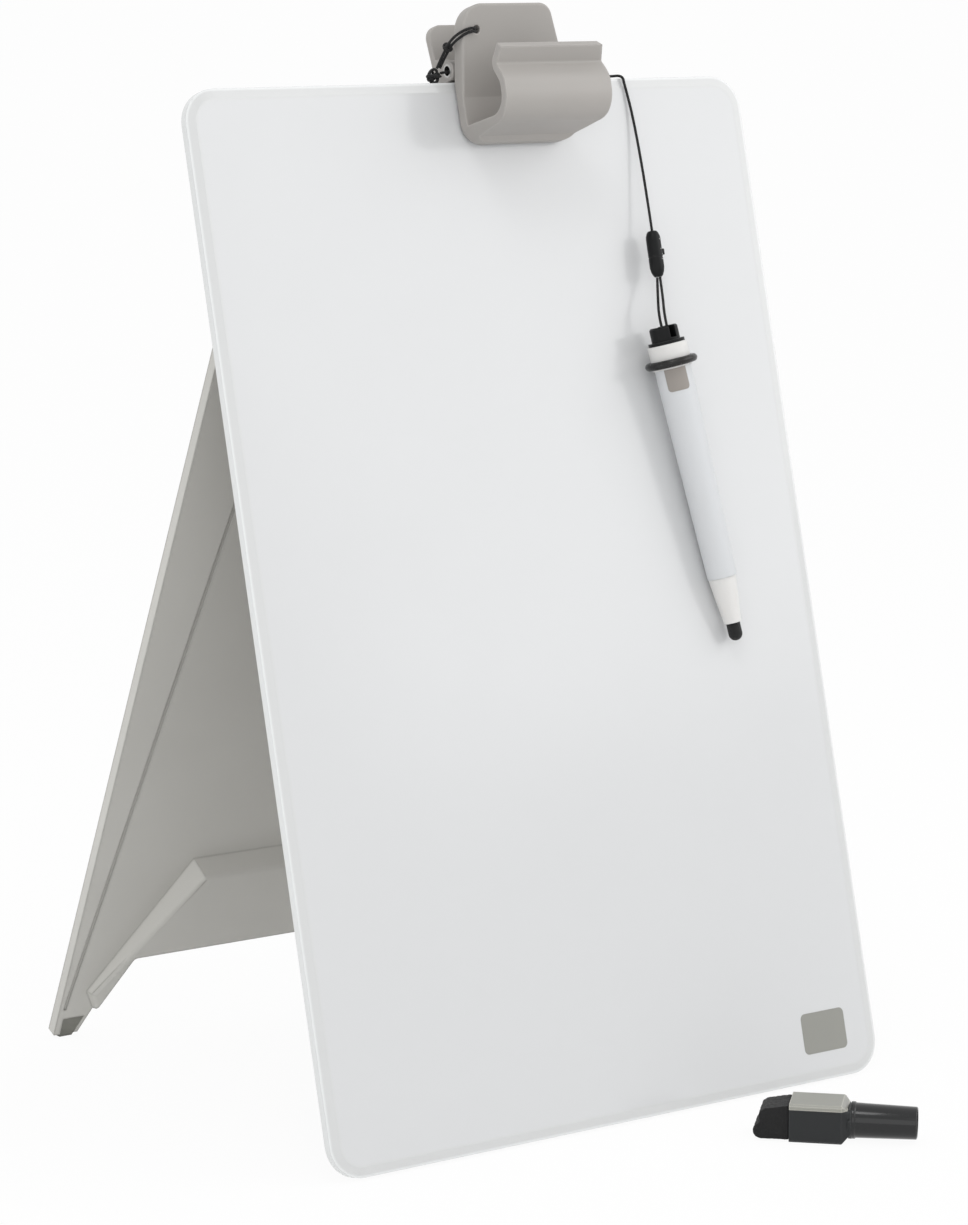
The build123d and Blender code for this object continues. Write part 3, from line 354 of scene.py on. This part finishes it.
# where a moulded plastic has a last colour, it is laid on its edges; the paler ones (clip, connector, cap block) are
# painted highlights with some wear
materials = {
    "white_glass": whiteGlass(),
    "grey_abs": mouldedPlastic("moulded ABS, warm grey", "a5a19d", "a09d99", 0.46, 0.0005, 0.000012, 0.0007, "b5b1ad"),
    # the leg's copy of the clip's grey ABS is lighter, painted light against the panel's shadow; its darker edge colour
    # is painted shade on its outer strip
    "grey_abs_leg_lightened": mouldedPlastic("moulded ABS, grey, lightened against shade", "cccbc6", "c8c7c2", 0.5, 0.0005, 0.000012, 0.0009, "aeada8"),
    # the cap plate's pale edge colour is a painted highlight on its chamfers
    "grey_abs_cap": mouldedPlastic("moulded ABS, cap plate", "98988e", "90908a", 0.34, 0.0005, 0.00001, 0.0004, "cccabf"),
    "grey_rubber": rubber("moulded rubber, grey", "86867f", "7b7b75", 0.7),
    "dark_rubber": rubber("moulded rubber, black", "141312", "1d1c1b", 0.26),
    "zinc_sheet": drawnSteel("zinc-plated sheet", "b8babc", 0.42, 0.0002),
    "steel_pin": drawnSteel("drawn steel", "b4b4b2", 0.3, 0.0002),
    "black_cord": braidedCord(),
    "black_plastic": mouldedPlastic("moulded nylon, black", "141516", "0f1011", 0.42, 0.0003, 0.000008, 0.0003, "2a2b2b", 0.18),
    # pale dots on the connector's lit side: painted highlights
    "dot_highlight_paint": mouldedPlastic("moulded nylon, pale dots as painted highlight", "8d8d8b", "a3a3a1", 0.5, 0.0003, 0.000004, 0.0001),
    "white_plastic": milkyPlastic("natural polypropylene", "dcdbd9", 0.42, 0.3),
    "milky_barrel": milkyPlastic("natural polypropylene, barrel", "cfd1d3", 0.5, 0.2, 0.15),
    "felt_fibre": felt("fibre wadding", "cfcec9", "b9b8b3", 0.0004),
    "black_felt": felt("pressed felt, black", "19191a", "2b2b2b", 0.0003),
    "black_gloss": glossPlastic("polished polypropylene, black", "191a1b", 0.13, 0.0003),
    "grey_print": mouldedPlastic("screen-printed grey", "92928c", "8f8f89", 0.5, 0.0002, 0.000002, 0.00005),
    "warm_print": mouldedPlastic("printed film, warm grey", "958f89", "8f8983", 0.45, 0.0002, 0.000002, 0.00005),
    "satin_black": mouldedPlastic("moulded polypropylene, black", "262829", "222425", 0.42, 0.0005, 0.00001, 0.0004, "3c3e3f", 0.3),
}

for entry in frame["record"]["subparts"]:
    node = nodes[entry["node"]]
    node.data.materials.clear()
    node.data.materials.append(materials[entry["material_slot"]])
nodes["pen_barrel"].data.materials[0] = materials["milky_barrel"]
# the leg gets the lightened copy of the grey ABS: painted light against the panel's shadow
nodes["rear_leg"].data.materials[0] = materials["grey_abs_leg_lightened"]
print("finishes:", len(materials), "materials")


# ------------------------------------------------ making by hand
def begin():
    if bpy.context.object and bpy.context.object.mode != "OBJECT":
        bpy.ops.object.mode_set(mode="OBJECT")
    bpy.ops.object.select_all(action="DESELECT")


def choose(piece, kind, test):
    # selects vertices, edges or faces by their place or normal, and leaves the piece in edit mode
    bpy.ops.object.mode_set(mode="EDIT")
    bpy.ops.mesh.select_mode(type=kind)
    bpy.ops.mesh.select_all(action="DESELECT")
    bpy.ops.object.mode_set(mode="OBJECT")
    items = {"VERT": piece.data.vertices, "EDGE": piece.data.edges, "FACE": piece.data.polygons}[kind]
    for item in items:
        item.select = test(item)
    bpy.ops.object.mode_set(mode="EDIT")


def settle(piece, name, place, slot, body, replaced=()):
    # puts the finished piece in its place, with the place in its mesh, and joins it to its body
    begin()
    bpy.context.view_layer.objects.active = piece
    piece.select_set(True)
    piece.name = name
    piece.data.name = name
    piece.matrix_world = place
    bpy.ops.object.transform_apply(location=True, rotation=True, scale=True)
    piece.data.materials.clear()
    piece.data.materials.append(materials[slot])
    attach(piece, body)
    if replaced:
        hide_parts(*replaced)
    return piece


def applyModifiers(piece):
    begin()
    bpy.context.view_layer.objects.active = piece
    piece.select_set(True)
    for modifier in list(piece.modifiers):
        bpy.ops.object.modifier_apply(modifier=modifier.name)


def spun(profile, steps):
    # a half section, as (radius, height) points, extruded point by point and spun about Z
    begin()
    bpy.ops.mesh.primitive_plane_add(size=0.001)
    piece = bpy.context.object
    bpy.ops.object.mode_set(mode="EDIT")
    bpy.ops.mesh.merge(type="CENTER")
    last = Vector((0, 0, 0))
    for number, (radius, height) in enumerate(profile):
        here = Vector((radius, 0, height))
        if number == 0:
            bpy.ops.transform.translate(value=here - last)
        else:
            bpy.ops.mesh.extrude_vertices_move(TRANSFORM_OT_translate={"value": here - last})
        last = here
    bpy.ops.mesh.select_all(action="SELECT")
    bpy.ops.mesh.spin(steps=steps, angle=2 * pi, center=(0, 0, 0), axis=(0, 0, 1))
    bpy.ops.mesh.select_all(action="SELECT")
    bpy.ops.mesh.remove_doubles(threshold=0.000002)
    bpy.ops.mesh.normals_make_consistent(inside=False)
    bpy.ops.object.mode_set(mode="OBJECT")
    bpy.ops.object.shade_smooth_by_angle(angle=radians(35))
    return piece


def tubeAlong(name, points, thickness, smooth=True):
    # a curve of one open spline that runs near its points, as a cord does
    curve = bpy.data.curves.new(name, "CURVE")
    curve.dimensions = "3D"
    curve.bevel_depth = thickness / 2
    curve.bevel_resolution = 5
    curve.resolution_u = 10
    curve.use_fill_caps = True
    spline = curve.splines.new("NURBS")
    spline.points.add(len(points) - 1)
    for point, place in zip(spline.points, points):
        point.co = (*place, 1.0)
    spline.order_u = 3
    spline.use_endpoint_u = True
    piece = bpy.data.objects.new(name, curve)
    bpy.context.scene.collection.objects.link(piece)
    return piece


# ------------------------------------------------ lanyard
# Routes as in the frame's own part: x along the panel, up it, out of the glass.
lanyard = {
    "thick": 0.0009,
    "lead": [
        (-0.0104, 0.3395, -0.00225),
        (-0.0084, 0.3401, -0.0020),
        (0.0360, 0.3401, -0.0020),
        (0.0480, 0.3376, -0.0022),
        (0.0564, 0.3370, -0.0018),
        (0.0588, 0.3370, -0.0004),
        (0.0597, 0.3359, 0.00062),
        (0.0595, 0.33445, 0.00078),
    ],
    "leadLength": 0.0726,
    "drop": [
        (0.0595, 0.33445, 0.00078),
        (0.0604, 0.3280, 0.0010),
        (0.0606, 0.3180, 0.0019),
        (0.0595, 0.3000, 0.0043),
        (0.0581, 0.2837, 0.0062),
    ],
    "dropLength": 0.0510,
    "tie": [
        (-0.0121, 0.3409, -0.0015),
        (-0.0101, 0.3468, 0.0023),
        (-0.0105, 0.3489, 0.0080),
        (-0.0075, 0.3507, 0.0109),
        (-0.00264, 0.35128, 0.0109),
        (-0.00264, 0.35128, 0.0042),
        (-0.00264, 0.3519, 0.0018),
        (-0.00264, 0.3497, 0.0018),
        (-0.00264, 0.35032, 0.0042),
        (-0.00264, 0.35032, 0.0107),
        (-0.0070, 0.3496, 0.0107),
        (-0.0095, 0.3480, 0.0082),
        (-0.0091, 0.3466, 0.0027),
        (-0.0111, 0.3409, -0.0013),
    ],
    "tieLength": 0.0601,
    "loopLength": 0.0428,
}

penEnds = {
    "ring": onPanel(0.0560, 0.2399, 0.0091),   # middle of the rubber ring
    "tip": onPanel(0.0702, 0.1474, 0.0042),    # end of the nib
}


def penPlace():
    # the pen's own axes: Z from the ring to the nib
    along = (penEnds["tip"] - penEnds["ring"]).normalized()
    across = (panelMatrix.to_3x3() @ Vector((0, 0, 1))).cross(along).normalized()
    return planeMatrix(penEnds["ring"], across, along.cross(across), along)


penMatrix = penPlace()


def loopRoute():
    # from one side of the connector round the bar in the pen's end plug and back, in the pen's own axes
    top = penMatrix.inverted() @ onPanel(0.0574, 0.2685, 0.0070)
    middle = (top.z - 0.0157) / 2
    places = [
        (top.x + 0.0006, top.y, top.z + 0.00035),
        (top.x / 2 + 0.0009, top.y / 2 + 0.00068, middle),
        (0.0007, 0.00135, -0.0157),
        (0.0006, 0.00135, -0.00875),
        (0.0006, -0.00135, -0.00875),
        (0.0005, -0.00135, -0.0157),
        (top.x / 2 - 0.0001, top.y / 2 - 0.00068, middle),
        (top.x - 0.0006, top.y, top.z + 0.00035),
    ]
    return [penMatrix @ Vector(place) for place in places]


def makeCord(name, points, body, replaced):
    piece = tubeAlong(name, points, lanyard["thick"])
    piece.data.materials.append(materials["black_cord"])
    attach(piece, body)
    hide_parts(*replaced)
    return piece


knots = {
    # place on the panel, radius over all, turn of the winding
    "knot_big": ((-0.0130, 0.3385, -0.0027), 0.0027, (0.5, 0.9, 0.2), "clip", "lanyard_knot"),
    "knot_tie": ((-0.0096, 0.3467, 0.0025), 0.0018, (1.2, 0.3, 0.8), "front_jaw", "lanyard_tie_knot"),
    "knot_stop": ((-0.00264, 0.3508, 0.0027), 0.0021, (1.6, 0.2, 0.1), "front_jaw", "lanyard_stop_knot"),
}


def makeKnot(name):
    # a doubled overhand knot pulled tight: the cord passes over and under itself until it is a ball
    place, radius, turn, body, replaced = knots[name]
    reach = radius - lanyard["thick"] / 2
    windings = []
    for lift, share in ((0.0, 1.0), (1.5, 0.82)):
        points = []
        for step in range(60):
            angle = 2 * pi * step / 60
            out = reach * share * (0.58 + 0.42 * cos(3 * angle))
            points.append((out * cos(2 * angle), out * sin(2 * angle), reach * share * 0.8 * sin(3 * angle)))
        winding = tubeAlong(name, [Euler((lift, lift / 2, 0)).to_matrix() @ Vector(p) for p in points], lanyard["thick"])
        winding.data.splines[0].use_cyclic_u = True
        winding.data.resolution_u = 3
        windings.append(winding)
    begin()
    for winding in windings:
        winding.select_set(True)
    bpy.context.view_layer.objects.active = windings[0]
    bpy.ops.object.convert(target="MESH")
    bpy.ops.object.join()
    piece = bpy.context.object
    bpy.ops.object.shade_smooth()
    turned = Euler(turn).to_matrix().to_4x4()
    return settle(piece, name, Matrix.Translation(onPanel(*place)) @ turned, "black_cord", body, [replaced])


knotPieces = {name: makeKnot(name) for name in knots}
print("lanyard: knots")

connector = {
    "top": (0.0581, 0.2837, 0.0062),
    "bottom": (0.0574, 0.2685, 0.0070),
    "radius": 0.0024,
    "seam": 0.0088,          # the two halves meet here, measured from the top
    "latch": (0.0010, 0.0016, 0.0020),
    "latchDown": 0.0069,
    "marks": 6,
    "markPitch": 0.00165,
}


def connectorPlace():
    top = onPanel(*connector["top"])
    line = (onPanel(*connector["bottom"]) - top).normalized()
    across = (panelMatrix.to_3x3() @ Vector((0, 0, 1))).cross(line).normalized()
    return planeMatrix(top, across, line.cross(across), line)


def makeConnector():
    length = (onPanel(*connector["bottom"]) - onPanel(*connector["top"])).length
    wide = connector["radius"]
    seam = connector["seam"]
    body = spun([
        (0.0, 0.0),
        (0.0011, 0.0),
        (0.0015, 0.0001),
        (0.0019, 0.0006),
        (wide - 0.0001, 0.0017),
        (wide, 0.0026),
        (wide, seam - 0.00022),
        (wide - 0.00012, seam - 0.00008),
        (wide - 0.00012, seam + 0.00008),
        (wide, seam + 0.00022),
        (wide, length - 0.0030),
        (wide - 0.0003, length - 0.0016),
        (0.0016, length - 0.0004),
        (0.0012, length),
        (0.0, length),
    ], 40)
    begin()
    bpy.ops.mesh.primitive_cube_add(size=1.0, location=(wide, 0, connector["latchDown"]))
    latch = bpy.context.object
    latch.scale = (2 * connector["latch"][0], connector["latch"][1], connector["latch"][2])
    bpy.ops.object.transform_apply(location=True, scale=True)
    choose(latch, "FACE", lambda face: face.normal.x > 0.9)
    bpy.ops.mesh.inset(thickness=0.0003)
    bpy.ops.transform.translate(value=(-0.00035, 0, 0))
    bpy.ops.mesh.select_all(action="SELECT")
    bpy.ops.object.mode_set(mode="OBJECT")
    latch.modifiers.new("rounded", "BEVEL").width = 0.00016
    latch.modifiers["rounded"].segments = 3
    applyModifiers(latch)
    begin()
    latch.select_set(True)
    body.select_set(True)
    bpy.context.view_layer.objects.active = body
    bpy.ops.object.join()
    return settle(body, "connector", connectorPlace(), "black_plastic", "lanyard", ["lanyard_connector"])


def makeMarks():
    # small moulded dimples down the connector's right side, coloured pale as painted highlights
    begin()
    dots = []
    for number in range(connector["marks"]):
        begin()
        angle = radians(50 if number % 2 else 66)
        down = 0.0030 + connector["markPitch"] * number
        bpy.ops.mesh.primitive_uv_sphere_add(segments=12, ring_count=8, radius=0.00026)
        dot = bpy.context.object
        choose(dot, "VERT", lambda vertex: vertex.co.x > 0.0001)
        bpy.ops.transform.resize(value=(0.6, 1.0, 1.0))
        bpy.ops.object.mode_set(mode="OBJECT")
        place = Matrix.Rotation(angle, 4, "Z") @ Matrix.Translation((connector["radius"] - 0.00012, 0, down))
        dot.matrix_world = place
        bpy.ops.object.transform_apply(location=True, rotation=True, scale=True)
        bpy.ops.object.shade_smooth()
        dots.append(dot)
    begin()
    for dot in dots:
        dot.select_set(True)
    bpy.context.view_layer.objects.active = dots[0]
    bpy.ops.object.join()
    return settle(dots[0], "connector_dots", connectorPlace(), "dot_highlight_paint", "lanyard")


connectorPiece = makeConnector()
dotsPiece = makeMarks()
print("lanyard: connector")

makeCord(
    "cord_lead", [onPanel(*place) for place in lanyard["lead"]],
    "clip", ["lanyard_lead"],
)
makeCord(
    "cord_drop", [onPanel(*place) for place in lanyard["drop"]],
    "lanyard", ["lanyard_drop"],
)
makeCord(
    "cord_tie", [onPanel(*place) for place in lanyard["tie"]],
    "front_jaw", ["lanyard_tie"],
)
makeCord("cord_loop", loopRoute(), "lanyard", ["lanyard_loop"])
print("lanyard: cords")


# ------------------------------------------------ pen
penRing = {
    "middle": 0.0074,
    "section": 0.0013,
    "flash": 1.006,      # the parting line left by the two halves of the mould
}


def makeRing():
    begin()
    bpy.ops.mesh.primitive_torus_add(
        major_segments=96, minor_segments=28, major_radius=penRing["middle"], minor_radius=penRing["section"],
    )
    piece = bpy.context.object
    outermost = penRing["middle"] + penRing["section"] * 0.995
    choose(piece, "VERT", lambda vertex: vertex.co.xy.length > outermost)
    bpy.ops.transform.resize(value=(penRing["flash"], penRing["flash"], 1.0))
    bpy.ops.object.mode_set(mode="OBJECT")
    bpy.ops.object.shade_smooth()
    return settle(piece, "pen_rubber_ring", penMatrix, "dark_rubber", "pen", ["pen_ring"])


penLabel = {
    "radius": 0.00597,
    "top": 0.00184,          # along the pen from the ring
    "bottom": 0.0093,
    "spread": radians(73),
    "turn": radians(121),    # where the middle of it faces, about the pen's axis
    "corner": 0.0013,
    "film": 0.00005,
}


def makePenLabel():
    # a plain grey patch that follows the barrel: an upright line spun part of a turn
    begin()
    bpy.ops.mesh.primitive_plane_add(size=0.001)
    piece = bpy.context.object
    bpy.ops.object.mode_set(mode="EDIT")
    bpy.ops.mesh.merge(type="CENTER")
    bpy.ops.transform.translate(value=(penLabel["radius"], 0, penLabel["top"]))
    steps = 8
    rise = (penLabel["bottom"] - penLabel["top"]) / steps
    for step in range(steps):
        bpy.ops.mesh.extrude_vertices_move(TRANSFORM_OT_translate={"value": (0, 0, rise)})
    bpy.ops.mesh.select_all(action="SELECT")
    bpy.ops.mesh.spin(steps=20, angle=penLabel["spread"], center=(0, 0, 0), axis=(0, 0, 1))
    bpy.ops.mesh.select_all(action="SELECT")
    bpy.ops.mesh.remove_doubles(threshold=0.000001)
    bpy.ops.object.mode_set(mode="OBJECT")
    turnBack = Matrix.Rotation(-penLabel["spread"] / 2 if spinsForward(piece) else penLabel["spread"] / 2, 4, "Z")
    piece.data.transform(turnBack)
    roundLowerCorners(piece)
    bpy.ops.object.mode_set(mode="EDIT")
    bpy.ops.mesh.select_all(action="SELECT")
    bpy.ops.mesh.normals_make_consistent(inside=False)
    bpy.ops.object.mode_set(mode="OBJECT")
    piece.modifiers.new("film", "SOLIDIFY").thickness = penLabel["film"]
    piece.modifiers["film"].offset = 1.0
    applyModifiers(piece)
    bpy.ops.object.shade_smooth_by_angle(angle=radians(35))
    place = penMatrix @ Matrix.Rotation(penLabel["turn"], 4, "Z")
    made = settle(piece, "pen_patch", place, "warm_print", "pen")
    return made


def spinsForward(piece):
    return sum(vertex.co.y for vertex in piece.data.vertices) > 0


def roundLowerCorners(piece):
    # the corner of the flat patch is drawn in along a quarter circle, measured round the barrel
    radius = penLabel["radius"]
    half = penLabel["spread"] / 2 * radius
    corner = penLabel["corner"]
    for vertex in piece.data.vertices:
        side = atan2(vertex.co.y, vertex.co.x) * radius
        down = vertex.co.z - (penLabel["bottom"] - corner)
        over = abs(side) - (half - corner)
        if down <= 0 or over <= 0:
            continue
        reach = max(down, over)
        length = (down ** 2 + over ** 2) ** 0.5
        down, over = down * reach / length, over * reach / length
        side = (half - corner + over) * (1 if side > 0 else -1)
        vertex.co = (radius * cos(side / radius), radius * sin(side / radius), penLabel["bottom"] - corner + down)


makeRing()
makePenLabel()
print("pen: ring and patch")


# ------------------------------------------------ cap
cap = {
    "place": (0.0386, -0.0446, 0.0062),   # block's left end, at the height of the sleeve's axis
    "turn": radians(-44.6),
    "block": 0.0193,
    "tube": [
        # the sleeve's wall, as (radius, distance from the block): collar, taper, rounded mouth, bore
        (0.0, -0.0003),
        (0.0058, -0.0003),
        (0.0059, -0.0001),
        (0.0059, 0.0007),
        (0.00584, 0.0010),
        (0.00568, 0.00115),
        (0.00556, 0.0013),
        (0.00554, 0.0018),
        (0.00516, 0.0200),
        (0.00508, 0.0203),
        (0.0049, 0.0204),
        (0.00472, 0.0203),
        (0.00465, 0.0200),
        (0.00465, 0.0010),
        (0.0, 0.0010),
    ],
}


def capPlace(start=0.0):
    # the cap's own axes, with Z along the sleeve
    turned = Matrix.Rotation(cap["turn"], 4, "Z") @ Matrix.Translation((start, 0, 0)) @ Matrix.Rotation(pi / 2, 4, "Y")
    return Matrix.Translation(cap["place"]) @ turned


def makeCapBlock():
    # the wide block of the moulding, cut from the frame's own solid where the sleeve begins
    begin()
    piece = bpy.data.objects.new("cap_block", nodes["cap_sleeve"].data.copy())
    bpy.context.scene.collection.objects.link(piece)
    bpy.context.view_layer.objects.active = piece
    piece.select_set(True)
    along = Vector((cos(cap["turn"]), sin(cap["turn"]), 0))
    bpy.ops.object.mode_set(mode="EDIT")
    bpy.ops.mesh.select_all(action="SELECT")
    bpy.ops.mesh.remove_doubles(threshold=0.000002)
    bpy.ops.mesh.select_all(action="SELECT")
    bpy.ops.mesh.bisect(
        plane_co=Vector(cap["place"]) + along * (cap["block"] - 0.00001), plane_no=along,
        clear_outer=True, use_fill=True,
    )
    bpy.ops.object.mode_set(mode="OBJECT")
    bpy.ops.object.shade_smooth_by_angle(angle=radians(20))
    made = settle(piece, "cap_block", Matrix.Identity(4), "satin_black", "cap", ["cap_sleeve"])
    return made


def makeCapTube():
    piece = spun(cap["tube"], 72)
    return settle(piece, "cap_tube", capPlace(cap["block"]), "black_gloss", "cap")


makeCapBlock()
makeCapTube()
print("cap: block and sleeve")

eraser = {
    "voxel": 0.00035,
    "nap": 0.00035,          # how far the fibres stand uneven
    "napSize": 0.0011,
}


def makeEraser():
    # a block of pressed felt, softened at its edges by use
    begin()
    piece = bpy.data.objects.new("eraser", nodes["cap_eraser"].data.copy())
    bpy.context.scene.collection.objects.link(piece)
    bpy.context.view_layer.objects.active = piece
    piece.select_set(True)
    bpy.ops.object.mode_set(mode="EDIT")
    bpy.ops.mesh.select_all(action="SELECT")
    bpy.ops.mesh.remove_doubles(threshold=0.00001)
    bpy.ops.object.mode_set(mode="OBJECT")
    piece.modifiers.new("even", "REMESH").voxel_size = eraser["voxel"]
    piece.modifiers.new("worn", "SMOOTH").iterations = 4
    nap = bpy.data.textures.new("felt nap", "CLOUDS")
    nap.noise_scale = eraser["napSize"]
    raised = piece.modifiers.new("nap", "DISPLACE")
    raised.texture = nap
    raised.strength = eraser["nap"]
    raised.mid_level = 0.7
    applyModifiers(piece)
    bpy.ops.object.shade_smooth()
    return settle(piece, "eraser", Matrix.Identity(4), "black_felt", "cap", ["cap_eraser"])


makeEraser()
print("cap: eraser")


# ------------------------------------------------ bare patch at the panel's corner
patch = {
    "left": 0.0770,
    "right": 0.0950,
    "low": 0.0091,
    "high": 0.0225,
    "corner": 0.0018,
    "film": 0.00006,
}


def makePatch():
    begin()
    bpy.ops.mesh.primitive_plane_add(size=1.0)
    piece = bpy.context.object
    piece.scale = (patch["right"] - patch["left"], patch["high"] - patch["low"], 1)
    bpy.ops.object.transform_apply(scale=True)
    bpy.ops.object.mode_set(mode="EDIT")
    bpy.ops.mesh.select_all(action="SELECT")
    bpy.ops.mesh.bevel(offset=patch["corner"], segments=8, affect="VERTICES")
    bpy.ops.mesh.select_all(action="SELECT")
    bpy.ops.mesh.extrude_region_move(TRANSFORM_OT_translate={"value": (0, 0, patch["film"])})
    bpy.ops.mesh.select_all(action="SELECT")
    bpy.ops.mesh.normals_make_consistent(inside=False)
    bpy.ops.object.mode_set(mode="OBJECT")
    middle = onPanel((patch["left"] + patch["right"]) / 2, (patch["low"] + patch["high"]) / 2, 0.00001)
    place = Matrix.Translation(middle) @ panelMatrix.to_quaternion().to_matrix().to_4x4()
    return settle(piece, "corner_patch", place, "grey_print", "board")


makePatch()


# ------------------------------------------------ floor, light and camera
stageSet = {
    "floor": "f4f4f4",
    "floorSize": 80.0,
    "floorWhite": 0.94,       # share of the floor that is plain white to the eye
    "worldLight": 0.80,
    "lights": {
        # place, size, power, what it is aimed at, spread
        "key": ((0.90, -0.70, 0.85), 1.0, 4.6, (0.03, 0.05, 0.17), 180),
        "front": ((-0.25, -1.9, 1.25), 1.2, 1.6, (0.0, 0.05, 0.20), 180),
        "top": ((-0.45, -0.42, 1.40), 0.42, 2.3, (0.05, -0.05, 0.05), 180),
        "fill": ((-0.95, -1.25, 0.50), 0.9, 1.7, (0.0, 0.08, 0.22), 180),
        "low": ((-0.95, -0.03, 0.10), 0.35, 0.05, (-0.05, 0.14, 0.08), 36),  # reaches the leg behind the panel
    },
}


def makeFloor():
    begin()
    bpy.ops.mesh.primitive_plane_add(size=stageSet["floorSize"])
    floor = bpy.context.object
    floor.name = "floor"
    material, tree = newMaterial("pale floor")
    # part diffuse, so that the shadow stays, and part plain white to the eye and in reflections
    path = addNode(tree, "ShaderNodeLightPath")
    seen = addNode(tree, "ShaderNodeMath", {
        0: path.outputs["Is Camera Ray"], 1: path.outputs["Is Glossy Ray"],
    }, operation="MAXIMUM").outputs["Value"]
    seen = addNode(tree, "ShaderNodeMath", {
        0: seen, 1: path.outputs["Is Transmission Ray"],
    }, operation="MAXIMUM").outputs["Value"]
    share = addNode(tree, "ShaderNodeMath", {0: seen, 1: stageSet["floorWhite"]}, operation="MULTIPLY").outputs["Value"]
    diffuse = addNode(tree, "ShaderNodeBsdfDiffuse", {"Color": srgb(stageSet["floor"])})
    white = addNode(tree, "ShaderNodeEmission", {"Color": (1, 1, 1, 1), "Strength": 1.0})
    mix = addNode(tree, "ShaderNodeMixShader", {
        "Fac": share, 1: diffuse.outputs["BSDF"], 2: white.outputs["Emission"],
    })
    output = addNode(tree, "ShaderNodeOutputMaterial")
    tree.links.new(mix.outputs["Shader"], output.inputs["Surface"])
    floor.data.materials.append(material)


def makeWorld():
    world = bpy.data.worlds.new("studio")
    bpy.context.scene.world = world
    world.use_nodes = True
    tree = world.node_tree
    tree.nodes.clear()
    path = addNode(tree, "ShaderNodeLightPath")
    seen = addNode(tree, "ShaderNodeMath", {
        0: path.outputs["Is Camera Ray"], 1: path.outputs["Is Glossy Ray"],
    }, operation="MAXIMUM").outputs["Value"]
    seen = addNode(tree, "ShaderNodeMath", {
        0: seen, 1: path.outputs["Is Transmission Ray"],
    }, operation="MAXIMUM").outputs["Value"]
    lit = addNode(tree, "ShaderNodeBackground", {"Color": (1, 1, 1, 1), "Strength": stageSet["worldLight"]})
    backdrop = addNode(tree, "ShaderNodeBackground", {"Color": (1, 1, 1, 1), "Strength": 1.0})
    mix = addNode(tree, "ShaderNodeMixShader", {
        "Fac": seen, 1: lit.outputs["Background"], 2: backdrop.outputs["Background"],
    })
    output = addNode(tree, "ShaderNodeOutputWorld")
    tree.links.new(mix.outputs["Shader"], output.inputs["Surface"])


def aim(piece, target):
    piece.rotation_euler = (Vector(target) - piece.location).to_track_quat("-Z", "Y").to_euler()


def makeLights():
    for name, (place, size, power, target, spread) in stageSet["lights"].items():
        begin()
        bpy.ops.object.light_add(type="AREA", location=place)
        light = bpy.context.object
        light.name = name
        light.data.energy = power
        light.data.size = size
        light.data.spread = radians(spread)
        light.visible_camera = False
        aim(light, target)


camera = {
    "place": (-0.7033, -0.9499, 0.3700),
    "turn": (radians(80.15), 0.0, radians(-34.594)),
    "lens": 112.97,      # on a 36 mm sensor
}


def makeCamera():
    begin()
    bpy.ops.object.camera_add(location=camera["place"], rotation=camera["turn"])
    eye = bpy.context.object
    eye.data.lens = camera["lens"]
    eye.data.sensor_width = 36.0
    eye.data.clip_start = 0.01
    bpy.context.scene.camera = eye


makeFloor()
makeWorld()
makeLights()
makeCamera()
bpy.context.scene.view_settings.view_transform = "Standard"
print("stage: floor, light and camera")
